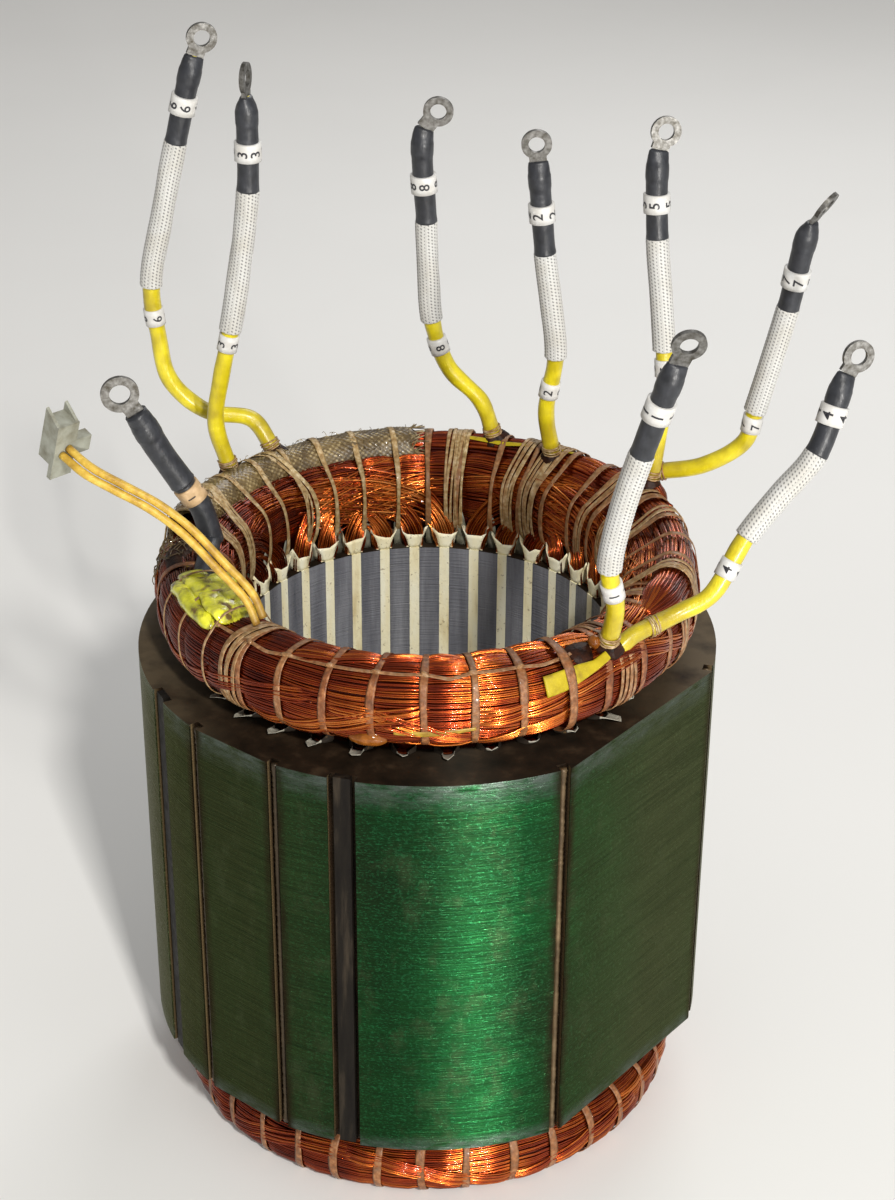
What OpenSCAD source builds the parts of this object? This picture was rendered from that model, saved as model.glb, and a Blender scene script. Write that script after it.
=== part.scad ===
// Wound stator of a small four-pole generator, standing on its lower end winding.
// Z is the bore axis, z = 0 is the floor, and the front of the machine faces -Y.
// A bearing is an angle about Z from the front (-Y), growing towards +X.

/* [Core] */
// Outside diameter of the laminated core
core_od = 300; // [285:1:380]
// Diameter of the bore that the rotor turns in
bore_d = 191; // [170:0.5:196]
// Length of the laminated core
core_len = 220; // [100:1:320]
// Depth of the two wide flats below the round outside
wide_flat_depth = 12; // [6:0.5:13]
// Depth of the two narrow flats below the round outside
narrow_flat_depth = 1.8; // [0.5:0.1:4]
// Bearing of the first narrow flat
narrow_flat_bearing = -39; // [-45:1:-30]

/* [Core channels] */
// Width of the four channels that hold the core bars
channel_w = 14; // [10:0.5:18]
// Depth of the four channels below the core's outside
channel_depth = 5; // [4.5:0.5:7]
// Angle from a narrow flat's middle to the channel beside it
channel_offset = 23.8; // [22:0.1:26]
// Width of a core bar
bar_w = 8.4; // [6:0.1:9.5]
// Thickness of a core bar
bar_t = 3.6; // [2:0.1:4]
// Width of the eight grooves for the weld beads
groove_w = 5.6; // [4.8:0.1:8]
// Depth of the weld grooves below the core's outside
groove_depth = 5; // [4.2:0.1:6]
// Radius of a weld bead
bead_r = 1.7; // [1:0.1:2]

/* [Slots] */
// Width of a slot's mouth at the bore
slot_mouth = 5.6; // [4.8:0.1:7]
// Depth of the tooth tips beside the mouth
tip_depth = 1.2; // [0.8:0.1:2]
// Width of a slot just behind its wedge
slot_w_in = 9.2; // [8:0.1:9.6]
// Width of a slot at its round bottom
slot_w_out = 12.2; // [10:0.1:12.8]
// Depth of a slot from the bore to its bottom
slot_depth = 26.5; // [20:0.5:28]
// Thickness of a slot wedge behind the tooth tips
wedge_t = 1.6; // [1:0.1:2.5]
// Thickness of the paper that lines a slot
liner_t = 0.45; // [0.3:0.05:0.6]
// Length of the liner's cuff beyond each end of the core
cuff_len = 8; // [4:0.5:12]
// Gap between one piece in a slot and the next
slot_clearance = 0.1; // [0.05:0.05:0.2]

/* [End windings] */
// From the bore's wall out to the middle of the upper end winding
top_ring_out = 25; // [23:0.5:26]
// Radial width of the upper end winding
top_ring_w = 37; // [34:0.5:38]
// Height of the upper end winding
top_ring_h = 41; // [34:0.5:50]
// From the bore's wall out to the middle of the lower end winding
low_ring_out = 23; // [22:0.5:26]
// Radial width of the lower end winding
low_ring_w = 36; // [33:0.5:38]
// Height of the lower end winding above the floor
low_ring_h = 37; // [30:0.5:46]
// Gap between a liner's cuff and an end winding
cuff_gap = 1; // [0.5:0.5:5]
// Height that the coil legs climb along the inner side of an end winding
leg_h = 30; // [20:0.5:30]
// Gap between windings and what lies on them
wrap_gap = 0.3; // [0.2:0.05:0.5]

/* [Lacing] */
// Width of one band of lacing tape
lace_w = 4; // [3:0.1:7]
// Thickness of the lacing tape
lace_t = 0.8; // [0.5:0.1:1]
// Number of bands round each end winding
lace_count = 36; // [18:1:40]

/* [Connections] */
// From the bore's wall out to the middle of the connections on the upper winding
bundle_out = 30.5; // [29:0.5:32]
// Radial width of the connection bundle
bundle_w = 22; // [18:0.5:24]
// Height of the bundle's own section, part of which sinks into the winding
bundle_h = 28; // [24:0.5:30]
// Thickness of the braided sleeving
braid_t = 0.9; // [0.6:0.1:1.2]
// Thickness of the flat sleeve at the front
flat_sleeve_t = 1.2; // [0.8:0.1:1.6]

/* [Leads] */
// Diameter of a yellow lead
lead_d = 9; // [7:0.5:10]
// Diameter of the glass sleeve on a lead
sleeve_d = 12.4; // [11:0.1:13]
// Diameter of the black sleeve that closes a lead's end
end_sleeve_d = 12; // [11:0.1:12.4]
// Diameter of the black lead
black_lead_d = 12; // [10:0.1:13]
// Diameter of the black sleeve on the black lead
black_sleeve_d = 14; // [13:0.1:15]
// Diameter of each of the two sensor wires
sensor_wire_d = 4; // [3:0.1:4.2]
// Thickness of a printed marker
marker_t = 0.6; // [0.4:0.1:0.8]
// Length of a wide marker
marker_len = 10; // [6:0.5:14]
// Length of a narrow marker
small_marker_len = 7; // [4:0.5:9]

/* [Lugs] */
// Hole in the ring lug of a yellow lead
lug_hole_d = 8.4; // [6.4:0.1:8.8]
// Outside diameter of that lug's ring
lug_pad_d = 15.6; // [14:0.1:16.4]
// Hole in the ring lug of the black lead
black_lug_hole_d = 10.5; // [8.4:0.1:11]
// Outside diameter of that lug's ring
black_lug_pad_d = 19; // [17:0.1:21]
// Thickness of a lug's tongue
lug_t = 2.2; // [1.8:0.1:3]
// Width of a lug's tongue where it leaves the sleeve
lug_neck_w = 9; // [7:0.1:10]

/* [Connector] */
// Height of the sensor connector's body
plug_h = 24; // [20:0.5:28]
// Width of the sensor connector's body
plug_w = 12.4; // [11:0.1:16]
// Length of the body along its wires
plug_len = 11; // [8:0.5:16]
// Wall round the connector's mouth
plug_wall = 1.4; // [1:0.1:2]
// Depth of the connector's mouth
plug_mouth = 3.5; // [2:0.5:3.5]
// Height of the two fins on top of the body
fin_h = 5; // [3:0.5:7]
// Thickness of a fin
fin_t = 1.6; // [1:0.1:2]
// Reach of the latch at the body's side
latch_reach = 9; // [5:0.5:12]
// Height of the foot plate under the body
foot_h = 8; // [5:0.5:10]

/* [Hidden] */

$fn = 180;
slot_count = 36;
slot_pitch = 360 / slot_count;
core_r = core_od / 2;
bore_r = bore_d / 2;
cut = 1;
wide_flat_bearing = narrow_flat_bearing + 90;
channel_bearings = [for (turn = [0, 180], side = [-1, 1])
    narrow_flat_bearing + turn + side * channel_offset];

// The weld grooves: four beside the narrow flats, four at the ends of the wide flats
near_groove_offset = 10;
far_groove_offset = 65.5;
groove_bearings = [for (turn = [0, 180], side = [-1, 1],
    offset_angle = [near_groove_offset, far_groove_offset])
    narrow_flat_bearing + turn + side * offset_angle];

// The upper and the lower end of the core
ring_gap = cuff_len + cuff_gap;
core_z0 = low_ring_h + ring_gap;
core_z1 = core_z0 + core_len;

// Sections of the end windings, rounded rectangles given by a superellipse
ring_power = 2.6;
ring_steps = 20;
top_ring_r = bore_r + top_ring_out;
top_ring_z = core_z1 + ring_gap + top_ring_h / 2;
winding_top = core_z1 + ring_gap + top_ring_h;
low_ring_r = bore_r + low_ring_out;
floor_sink = 1;
low_ring_z = (low_ring_h - floor_sink) / 2;
low_half_h = (low_ring_h + floor_sink) / 2;
bundle_r = bore_r + bundle_out;
bundle_sink = 7;
bundle_z = winding_top - bundle_sink;
bundle_from = 57;
bundle_turn = 208;

// The rise in the bundle where leads 5 and 7 leave it
rise_from = 108;
rise_turn = 24;
rise_section = rounded_section(bundle_r + 7, bundle_z + 9, 7, 8, 2);

// The lacquered joints at the left, on top of the winding
joint_section = rounded_section(top_ring_r - 2, winding_top - 5, 13, 9, 2.4);

// Bearings and turns of the sleeves
braid_from = 186;
braid_turn = 66;
joint_from = 284;
joint_turn = 29;
flat_from = 21;
flat_turn = 15;

// Depths behind the bore of the pieces in a slot
wedge_depth = tip_depth + wedge_t;

// The leads, each as points from where it leaves the winding to the middle of its lug,
// in x, y and height above the upper winding. The second value counts the points of
// the bare lead, the third turns the lug about the lead's own line.
lead_routes = [
    [[[87, -100, 0.3], [89, -106, 22], [85, -112, 45], [89, -119, 79], [96, -125, 109],
        [109, -135, 157], [113, -138, 167]], 3, 8],
    [[[67, 100, 7], [63, 96, 33], [67, 92, 66], [64, 90, 96], [60, 89, 125],
        [55, 86, 176], [54, 85, 185]], 3, 0],
    [[[-108, 79, 7], [-114, 77, 33], [-110, 76, 60], [-104, 74, 87], [-97, 73, 127],
        [-92, 71, 164], [-91, 68, 214], [-91, 68, 223]], 4, 78],
    [[[107, -85, -0.5], [122, -78, 4], [137, -75, 12], [153, -67, 39], [169, -61, 59],
        [185, -56, 78], [198, -47, 116], [203, -45, 124]], 4, 15],
    [[[118, 60, 11], [121, 60, 36], [123, 61, 60], [122, 63, 82], [119, 65, 112],
        [116, 68, 141], [115, 71, 187], [118, 72, 196]], 4, 10],
    [[[-86, 101, 8], [-97, 103, 24], [-121, 102, 29], [-140, 100, 48], [-145, 99, 75],
        [-147, 97, 103], [-139, 95, 143], [-130, 93, 182], [-118, 90, 228],
        [-114, 90, 237]], 6, 15],
    [[[122, 69, 10], [146, 61, 18], [166, 56, 34], [170, 54, 52], [176, 50, 82],
        [182, 47, 112], [190, 41, 160], [196, 40, 169]], 4, 62],
    [[[35, 120, 9], [28, 118, 29], [10, 116, 50], [1, 114, 78], [-1, 112, 107],
        [-2, 109, 135], [-3, 105, 187], [4, 104, 196]], 4, 0]];
black_route = [[-110, -1, 2], [-115, -2, 22], [-123, -4, 36], [-134, -7, 56],
    [-144, -10, 77], [-151, -12, 88]];
black_bare = 3;
black_lug_turn = 12;
sensor_route = [[-81, -88, 1.6], [-86, -85, 13], [-100, -79, 27], [-116, -74, 43],
    [-131, -71, 54], [-147, -68, 62], [-162, -64, 69], [-174, -55, 75], [-182, -47, 79]];
sensor_step = [3.1, 1.6, 2.8];
lead_sides = 10;
sensor_sides = 8;

copper = [0.62, 0.22, 0.09];
dark_steel = [0.2, 0.18, 0.16];
enamel_green = [0.05, 0.35, 0.15];
paper_cream = [0.9, 0.84, 0.62];
tape_tan = [0.7, 0.52, 0.34];
lead_yellow = [0.86, 0.78, 0.05];
tin = [0.72, 0.71, 0.7];
near_black = [0.06, 0.06, 0.07];

// Closed outline of a winding's section at middle r, z, with half sizes a and b
function rounded_section(r, z, a, b, power) = [for (i = [0:ring_steps - 1])
    let (t = 360 * i / ring_steps)
    [r + a * sign(cos(t)) * pow(abs(cos(t)), 2 / power),
     z + b * sign(sin(t)) * pow(abs(sin(t)), 2 / power)]];

function top_section(grow) =
    rounded_section(top_ring_r, top_ring_z, top_ring_w / 2 + grow, top_ring_h / 2 + grow,
        ring_power);

function low_section(grow) =
    rounded_section(low_ring_r, low_ring_z, low_ring_w / 2 + grow, low_half_h + grow,
        ring_power);

function bundle_section(grow) =
    rounded_section(bundle_r, bundle_z, bundle_w / 2 + grow, bundle_h / 2 + grow, 2);

// Half of a slot's outline, from its mouth to its round bottom, drawn in by inset
function slot_half_w(r) =
    let (r_in = bore_r + wedge_depth, r_out = bore_r + slot_depth - slot_w_out / 2)
    slot_w_in / 2 + (slot_w_out - slot_w_in) / 2 * (r - r_in) / (r_out - r_in);

function unit(v) = v / norm(v);

// The line of a route at point i: along its last stretch from the sleeve's end on
function route_line(route, i) =
    i >= len(route) - 2 ? unit(route[len(route) - 1] - route[len(route) - 2])
    : unit(route[i + 1] - route[max(i - 1, 0)]);

// A ring of points about point i of a route, across its line there
function route_ring(route, i, r, sides) =
    let (line = route_line(route, i), u = unit(cross([0, 1, 0], line)), v = cross(line, u))
    [for (j = [0:sides - 1]) route[i] + r * (cos(360 * j / sides) * u + sin(360 * j / sides) * v)];

module at_bearing(bearing) {
    rotate([0, 0, bearing]) children();
}

// A section turned about the axis from one bearing through a turn
module ring_part(section, from, turn) {
    rotate([0, 0, from - 90]) rotate_extrude(angle = turn) polygon(section);
}

module whole_ring(section) {
    rotate_extrude() polygon(section);
}

// The body of a slot behind its wedge, drawn in by inset
module slot_body(inset) {
    r_in = bore_r + wedge_depth + inset;
    r_out = bore_r + slot_depth - slot_w_out / 2;
    w_in = slot_half_w(r_in) - inset;
    w_out = slot_w_out / 2 - inset;
    polygon([[-w_in, -r_in], [-w_out, -r_out], [w_out, -r_out], [w_in, -r_in]]);
    translate([0, -r_out]) circle(r = w_out, $fn = 48);
}

module slot_opening() {
    translate([-slot_mouth / 2, -bore_r - wedge_depth - cut])
        square([slot_mouth, wedge_depth + 2 * cut]);
    wedge_w = slot_half_w(bore_r + wedge_depth) * 2;
    translate([-wedge_w / 2, -bore_r - wedge_depth - cut / 2])
        square([wedge_w, wedge_t + cut / 2]);
}

module core_outline() {
    difference() {
        circle(r = core_r, $fn = 360);
        circle(r = bore_r);
        for (turn = [0, 180]) {
            rotate(wide_flat_bearing + turn)
                translate([-core_r, wide_flat_depth - 2 * core_r]) square([core_od, core_r]);
            rotate(narrow_flat_bearing + turn)
                translate([-core_r, narrow_flat_depth - 2 * core_r]) square([core_od, core_r]);
        }
        for (bearing = channel_bearings) rotate(bearing)
            translate([-channel_w / 2, -core_r - cut]) square([channel_w, channel_depth + cut]);
        for (bearing = groove_bearings) rotate(bearing)
            translate([-groove_w / 2, -core_r - cut]) square([groove_w, groove_depth + cut]);
        for (i = [0:slot_count - 1]) rotate((i + 0.5) * slot_pitch) {
            slot_opening();
            slot_body(0);
        }
    }
}

// Stack of pressed laminations with slots, flats, channels and weld grooves
module core_stack() {
    color(enamel_green) translate([0, 0, core_z0])
        linear_extrude(height = core_len) core_outline();
}

// Flat steel bars that clamp the stack, one in each wide channel
module core_bars() {
    color(dark_steel) for (bearing = channel_bearings) at_bearing(bearing)
        translate([-bar_w / 2, -core_r + channel_depth - bar_t, core_z0])
        cube([bar_w, bar_t, core_len]);
}

// Weld beads that run down the narrow grooves and hold the laminations
module weld_beads() {
    color(tape_tan) for (bearing = groove_bearings) at_bearing(bearing)
        translate([0, -core_r + groove_depth - bead_r - slot_clearance, core_z0])
        cylinder(r = bead_r, h = core_len, $fn = 24);
}

// Paper that lines each slot and stands out of both ends as a cuff
module slot_liners() {
    inset = slot_clearance;
    mouth_r = bore_r + wedge_depth + inset + liner_t;
    color(paper_cream) for (i = [0:slot_count - 1]) at_bearing((i + 0.5) * slot_pitch)
        translate([0, 0, core_z0 - cuff_len]) linear_extrude(height = core_len + 2 * cuff_len)
        difference() {
            slot_body(inset);
            slot_body(inset + liner_t);
            translate([-slot_w_in / 2, -mouth_r]) square([slot_w_in, liner_t + cut]);
        }
}

// Strips that close the slot mouths flush with the bore
module slot_wedges() {
    half_mouth = slot_mouth / 2 - slot_clearance;
    half_back = slot_half_w(bore_r + wedge_depth) - 2 * slot_clearance;
    r_tip = bore_r + tip_depth + slot_clearance;
    r_back = bore_r + wedge_depth - slot_clearance;
    color(paper_cream) for (i = [0:slot_count - 1]) at_bearing((i + 0.5) * slot_pitch)
        translate([0, 0, core_z0]) linear_extrude(height = core_len)
        difference() {
            polygon([[-half_mouth, -bore_r + cut], [-half_mouth, -r_tip], [-half_back, -r_tip],
                [-half_back, -r_back], [half_back, -r_back], [half_back, -r_tip],
                [half_mouth, -r_tip], [half_mouth, -bore_r + cut]]);
            circle(r = bore_r);
        }
}

// One coil side's outline inside its liner
module coil_side() {
    slot_body(2 * slot_clearance + liner_t);
}

// The coil sides that lie in the slots
module slot_coils() {
    color(copper) for (i = [0:slot_count - 1]) at_bearing((i + 0.5) * slot_pitch)
        translate([0, 0, core_z0]) linear_extrude(height = core_len) coil_side();
}

// Coil legs that climb out of the slots into the upper end winding
module coil_legs_top() {
    color(copper) difference() {
        for (i = [0:slot_count - 1]) at_bearing((i + 0.5) * slot_pitch)
            translate([0, 0, core_z1]) linear_extrude(height = leg_h) coil_side();
        whole_ring(top_section(wrap_gap));
    }
}

// Coil legs that run down out of the slots into the lower end winding
module coil_legs_bottom() {
    color(copper) difference() {
        for (i = [0:slot_count - 1]) at_bearing((i + 0.5) * slot_pitch)
            translate([0, 0, core_z0 - leg_h]) linear_extrude(height = leg_h) coil_side();
        whole_ring(low_section(wrap_gap));
    }
}

// Laced ring of coil ends above the core
module end_winding_top() {
    color(copper) whole_ring(top_section(0));
}

module above_floor() {
    intersection() {
        children();
        translate([0, 0, core_r]) cube([2 * core_od, 2 * core_od, 2 * core_r], center = true);
    }
}

// Laced ring of coil ends below the core, which the stator stands on
module end_winding_bottom() {
    color(copper) above_floor() whole_ring(low_section(0));
}

// Connections that lie along the top of the upper winding, with the rise to leads 5 and 7
module connection_bundle() {
    color(copper) difference() {
        ring_part(bundle_section(0), bundle_from, bundle_turn);
        whole_ring(top_section(wrap_gap));
    }
    color(copper) difference() {
        ring_part(rise_section, rise_from, rise_turn);
        ring_part(bundle_section(wrap_gap), rise_from - 1, rise_turn + 2);
        whole_ring(top_section(wrap_gap));
    }
}

// Braided sleeving round the connections at the back left
module braided_sleeve() {
    color([0.45, 0.38, 0.24]) difference() {
        ring_part(bundle_section(wrap_gap + braid_t), braid_from, braid_turn);
        ring_part(bundle_section(wrap_gap), braid_from - 1, braid_turn + 2);
        whole_ring(top_section(wrap_gap + lace_t));
    }
}

// Varnished yellow sleeves over the joints at the left
module joint_sleeve() {
    color([0.62, 0.62, 0.08]) difference() {
        ring_part(joint_section, joint_from, joint_turn);
        whole_ring(top_section(wrap_gap + lace_t + wrap_gap));
    }
}

// Flattened yellow sleeve on the upper outer corner at the front right
module flat_sleeve() {
    gap = 2 * wrap_gap + lace_t;
    color(lead_yellow) difference() {
        ring_part(top_section(gap + flat_sleeve_t), flat_from, flat_turn);
        ring_part(top_section(gap), flat_from - 1, flat_turn + 2);
        translate([0, 0, top_ring_z - core_od]) cylinder(r = core_r, h = core_od + top_ring_h / 4);
        cylinder(r = top_ring_r + 2, h = 2 * core_z1);
    }
}

// Tape bands that lace an end winding of a given section
module lacing(outer, inner) {
    half_turn = asin(lace_w / 2 / top_ring_r);
    difference() {
        for (i = [0:lace_count - 1]) let (mid = i * 360 / lace_count)
            ring_part(outer, mid - half_turn, 2 * half_turn);
        whole_ring(inner);
    }
}

module lacing_top() {
    color(tape_tan) difference() {
        lacing(top_section(wrap_gap + lace_t), top_section(wrap_gap));
        ring_part(bundle_section(wrap_gap), bundle_from - 1, bundle_turn + 2);
        coil_leg_room(core_z1);
    }
}

module lacing_bottom() {
    color(tape_tan) above_floor() difference() {
        lacing(low_section(wrap_gap + lace_t), low_section(wrap_gap));
        coil_leg_room(core_z0 - leg_h);
    }
}

// The space of the coil legs on the inner side of an end winding
module coil_leg_room(z) {
    for (i = [0:slot_count - 1]) at_bearing((i + 0.5) * slot_pitch)
        translate([-slot_w_out / 2 - wrap_gap, -bore_r - slot_depth - wrap_gap, z - wrap_gap])
        cube([slot_w_out + 2 * wrap_gap, slot_depth, leg_h + 2 * wrap_gap]);
}

// Papers between the coil legs, standing on the tooth ends
module phase_tabs() {
    tab_w = 4.5;
    tab_h = 20;
    tab_t = 0.5;
    tab_back = 5;
    color([0.45, 0.45, 0.42]) for (i = [0:slot_count - 1]) at_bearing(i * slot_pitch)
        translate([-tab_w / 2, -bore_r - tab_back - tab_t, core_z1]) cube([tab_w, tab_t, tab_h]);
}

// A tube of flat sides along a route, from one of its points to another
module route_tube(route, from, to, d, sides) {
    rings = to - from + 1;
    points = [for (i = [from:to]) each route_ring(route, i, d / 2, sides)];
    walls = [for (i = [0:rings - 2], j = [0:sides - 1])
        let (a = i * sides + j, b = i * sides + (j + 1) % sides, c = b + sides, e = a + sides)
        each [[a, b, c], [a, c, e]]];
    start = [for (j = [0:sides - 1]) sides - 1 - j];
    end = [for (j = [0:sides - 1]) (rings - 1) * sides + j];
    polyhedron(points = points, faces = [for (f = concat(walls, [start], [end]))
        [for (k = [len(f) - 1:-1:0]) f[k]]]);
}

// Stands a child, drawn up its own +Z, at point p along a line
module along(p, line) {
    translate(p) rotate([0, acos(line[2]), atan2(line[1], line[0])]) children();
}

module above_winding() {
    translate([0, 0, winding_top]) children();
}

// A yellow lead from the winding up to its glass sleeve
module lead(k) {
    color(lead_yellow) above_winding()
        route_tube(lead_routes[k][0], 0, lead_routes[k][1] - 1, lead_d, lead_sides);
}

// Woven glass sleeve pushed over a lead
module glass_sleeve(k) {
    route = lead_routes[k][0];
    color("white") above_winding()
        route_tube(route, lead_routes[k][1] - 1, len(route) - 3, sleeve_d, lead_sides);
}

// Ring lug: a tongue from the sleeve's end to a drilled ring, at the end of a route
module ring_lug(route, turn, hole_d, pad_d) {
    base = route[len(route) - 2];
    line = unit(route[len(route) - 1] - base);
    reach = norm(route[len(route) - 1] - base);
    above_winding() along(base, line) rotate([0, 0, turn + lug_roll(line)]) difference() {
        union() {
            translate([-lug_neck_w / 2, -lug_t / 2, 0]) cube([lug_neck_w, lug_t, reach]);
            translate([0, lug_t / 2, reach]) rotate([90, 0, 0]) cylinder(d = pad_d, h = lug_t);
        }
        translate([0, lug_t, reach]) rotate([90, 0, 0]) cylinder(d = hole_d, h = 2 * lug_t);
        translate([-pad_d, -lug_t, -pad_d]) cube([2 * pad_d, 2 * lug_t, pad_d]);
    }
}

// The roll that faces a lug's flat to the front before its own turn
function lug_roll(line) = -atan2(line[1], line[0]);

module lug(k) {
    color(tin) ring_lug(lead_routes[k][0], lead_routes[k][2], lug_hole_d, lug_pad_d);
}

// Black shrunk sleeves over the lug ends of all nine leads
module end_sleeves() {
    color(near_black) above_winding() for (k = [0:len(lead_routes) - 1]) {
        route = lead_routes[k][0];
        route_tube(route, len(route) - 3, len(route) - 2, end_sleeve_d, lead_sides);
    }
    color(near_black) above_winding()
        route_tube(black_route, black_bare - 1, len(black_route) - 2, black_sleeve_d, lead_sides);
}

// A short printed sleeve part of the way from one point of a route to the next
module marker(route, i, share, d, length) {
    line = unit(route[i + 1] - route[i]);
    mid = route[i] + share * (route[i + 1] - route[i]);
    above_winding() along(mid - line * length / 2, line) difference() {
        cylinder(d = d + 2 * (wrap_gap + marker_t), h = length, $fn = 48);
        translate([0, 0, -cut]) cylinder(d = d + 2 * wrap_gap, h = length + 2 * cut, $fn = 48);
    }
}

// Numbered sleeves on the leads: a wide one on each black end, a narrow one lower down
module number_markers() {
    color("white") for (k = [0:len(lead_routes) - 1]) {
        route = lead_routes[k][0];
        marker(route, len(route) - 3, 0.55, end_sleeve_d, marker_len);
        marker(route, lead_routes[k][1] - 2, 0.6, lead_d, small_marker_len);
    }
    color(tape_tan) marker(black_route, black_bare - 2, 0.6, black_lead_d, marker_len);
}

module black_lead() {
    color(near_black) above_winding()
        route_tube(black_route, 0, black_bare - 1, black_lead_d, lead_sides);
}

module black_lug() {
    color(tin) ring_lug(black_route, black_lug_turn, black_lug_hole_d, black_lug_pad_d);
}

// The two wires of the temperature sensor in the winding, side by side
module sensor_wires() {
    color([0.86, 0.7, 0.25]) above_winding() for (step = [0, 1]) {
        route = [for (p = sensor_route) p + step * sensor_step];
        route_tube(route, 0, len(route) - 2, sensor_wire_d, sensor_sides);
    }
}

// Two-way connector, open at the end away from its wires. Local X runs down its body.
module sensor_connector() {
    line = unit(sensor_route[len(sensor_route) - 1] - sensor_route[len(sensor_route) - 2]);
    start = sensor_route[len(sensor_route) - 2] + sensor_step / 2 + wrap_gap * line;
    below = plug_h / 3;
    above = plug_h - below;
    foot_t = plug_len / 4;
    latch_h = plug_h / 2.6;
    latch_t = plug_len / 2;
    color([0.55, 0.56, 0.48]) above_winding() along(start, line) difference() {
        union() {
            translate([-above, -plug_w / 2, 0]) cube([plug_h, plug_w, plug_len]);
            translate([below - cut, -plug_w / 2, 0]) cube([foot_h + cut, plug_w, foot_t]);
            translate([-latch_h / 2, -plug_w / 2 - latch_reach, 0])
                cube([latch_h, latch_reach + cut, latch_t]);
            for (side = [-plug_w / 2, plug_w / 2 - fin_t]) translate([0, side + fin_t, 0])
                rotate([90, 0, 0]) linear_extrude(height = fin_t)
                polygon([[-above + cut, cut], [-above, cut], [-above - fin_h, plug_len],
                    [-above + cut, plug_len]]);
        }
        translate([-above + plug_wall, -plug_w / 2 + plug_wall, plug_len - plug_mouth])
            cube([plug_h - 2 * plug_wall, plug_w - 2 * plug_wall, plug_mouth + cut]);
    }
}

core_stack();
core_bars();
weld_beads();
slot_liners();
slot_wedges();
slot_coils();
coil_legs_top();
coil_legs_bottom();
end_winding_top();
end_winding_bottom();
connection_bundle();
braided_sleeve();
joint_sleeve();
flat_sleeve();
lacing_top();
lacing_bottom();
phase_tabs();
lead(0);  // lead_1
lead(1);  // lead_2
lead(2);  // lead_3
lead(3);  // lead_4
lead(4);  // lead_5
lead(5);  // lead_6
lead(6);  // lead_7
lead(7);  // lead_8
glass_sleeve(0);  // glass_sleeve_1
glass_sleeve(1);  // glass_sleeve_2
glass_sleeve(2);  // glass_sleeve_3
glass_sleeve(3);  // glass_sleeve_4
glass_sleeve(4);  // glass_sleeve_5
glass_sleeve(5);  // glass_sleeve_6
glass_sleeve(6);  // glass_sleeve_7
glass_sleeve(7);  // glass_sleeve_8
lug(0);  // lug_1
lug(1);  // lug_2
lug(2);  // lug_3
lug(3);  // lug_4
lug(4);  // lug_5
lug(5);  // lug_6
lug(6);  // lug_7
lug(7);  // lug_8
end_sleeves();
number_markers();
black_lead();
black_lug();
sensor_wires();
sensor_connector();
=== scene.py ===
import math
from functools import reduce
import bmesh
import bpy
import numpy as np
from mathutils import Matrix, Vector


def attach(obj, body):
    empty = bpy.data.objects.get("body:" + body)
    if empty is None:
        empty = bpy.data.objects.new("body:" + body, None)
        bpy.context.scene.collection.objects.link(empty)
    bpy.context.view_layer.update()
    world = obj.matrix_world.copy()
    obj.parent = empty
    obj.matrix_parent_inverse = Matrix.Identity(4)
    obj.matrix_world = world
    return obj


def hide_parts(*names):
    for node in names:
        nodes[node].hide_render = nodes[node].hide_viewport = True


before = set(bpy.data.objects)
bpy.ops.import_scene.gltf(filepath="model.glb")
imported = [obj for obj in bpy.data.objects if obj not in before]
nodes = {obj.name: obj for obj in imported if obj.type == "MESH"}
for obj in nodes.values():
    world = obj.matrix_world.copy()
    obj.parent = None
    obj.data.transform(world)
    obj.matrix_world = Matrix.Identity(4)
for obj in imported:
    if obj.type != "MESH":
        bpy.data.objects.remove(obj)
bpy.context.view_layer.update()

scene = bpy.context.scene
scene.view_settings.view_transform = "Standard"

# --- Camera: stands in front and above, and looks down at the stator by about 28 degrees.
camera_place, pitch, roll = (0.0103, -1.0865, 0.8687), math.radians(28.28), math.radians(0.368)
camera_data = bpy.data.cameras.new("camera")
camera_data.lens, camera_data.sensor_width = 71.4, 36
camera_data.clip_start, camera_data.clip_end = 0.05, 20
camera = bpy.data.objects.new("camera", camera_data)
scene.collection.objects.link(camera)
scene.camera = camera
ahead = Vector((0, math.cos(pitch), -math.sin(pitch)))
level, lifted = Vector((1, 0, 0)), Vector((0, math.sin(pitch), math.cos(pitch)))
camera_side = level * math.cos(roll) + lifted * math.sin(roll)
camera_top = lifted * math.cos(roll) - level * math.sin(roll)
camera.matrix_world = Matrix.Translation(camera_place) @ Matrix(
    (camera_side, camera_top, -ahead)).transposed().to_4x4()

# --- Yellow leads: eight stranded copper wires in yellow varnished sleeving, stiff enough to
# stand up by themselves. They come out of the upper winding, where lashings hold them, and each
# ends in a tinned ring lug, crimped on.


class Value:
    """A number or colour that varies over a material. +, -, *, abs and at_least add Math nodes."""

    def __init__(self, socket):
        self.socket, self.tree = socket, socket.id_data

    def math(self, operation, other=0.0):
        """One Math node on this value and another value or number."""
        return shader(self.tree, "Math", {0: self, 1: other}, operation=operation)

    def __add__(self, other):
        return self.math("ADD", other)

    def __sub__(self, other):
        return self.math("SUBTRACT", other)

    def __mul__(self, other):
        return self.math("MULTIPLY", other)

    def __abs__(self):
        return self.math("ABSOLUTE")

    def at_least(self, other):
        """The greater of this and another."""
        return self.math("MAXIMUM", other)


def fill(node, inputs):
    """Sets or wires the inputs of a shader node."""
    for key, value in inputs.items():
        if isinstance(value, Value):
            value.tree.links.new(value.socket, node.inputs[key])
        else:
            node.inputs[key].default_value = value


def shader(tree, kind, inputs=(), out=0, **settings):
    """Adds one shader node with its inputs and settings and returns one of its outputs."""
    node = tree.nodes.new("ShaderNode" + kind)
    for key, value in settings.items():
        setattr(node, key, value)
    fill(node, dict(inputs))
    return Value(node.outputs[out])


def layer_of(tree, name):
    """The values that a piece stores for its points under a name."""
    return shader(tree, "Attribute", out=2, attribute_name=name)


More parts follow.
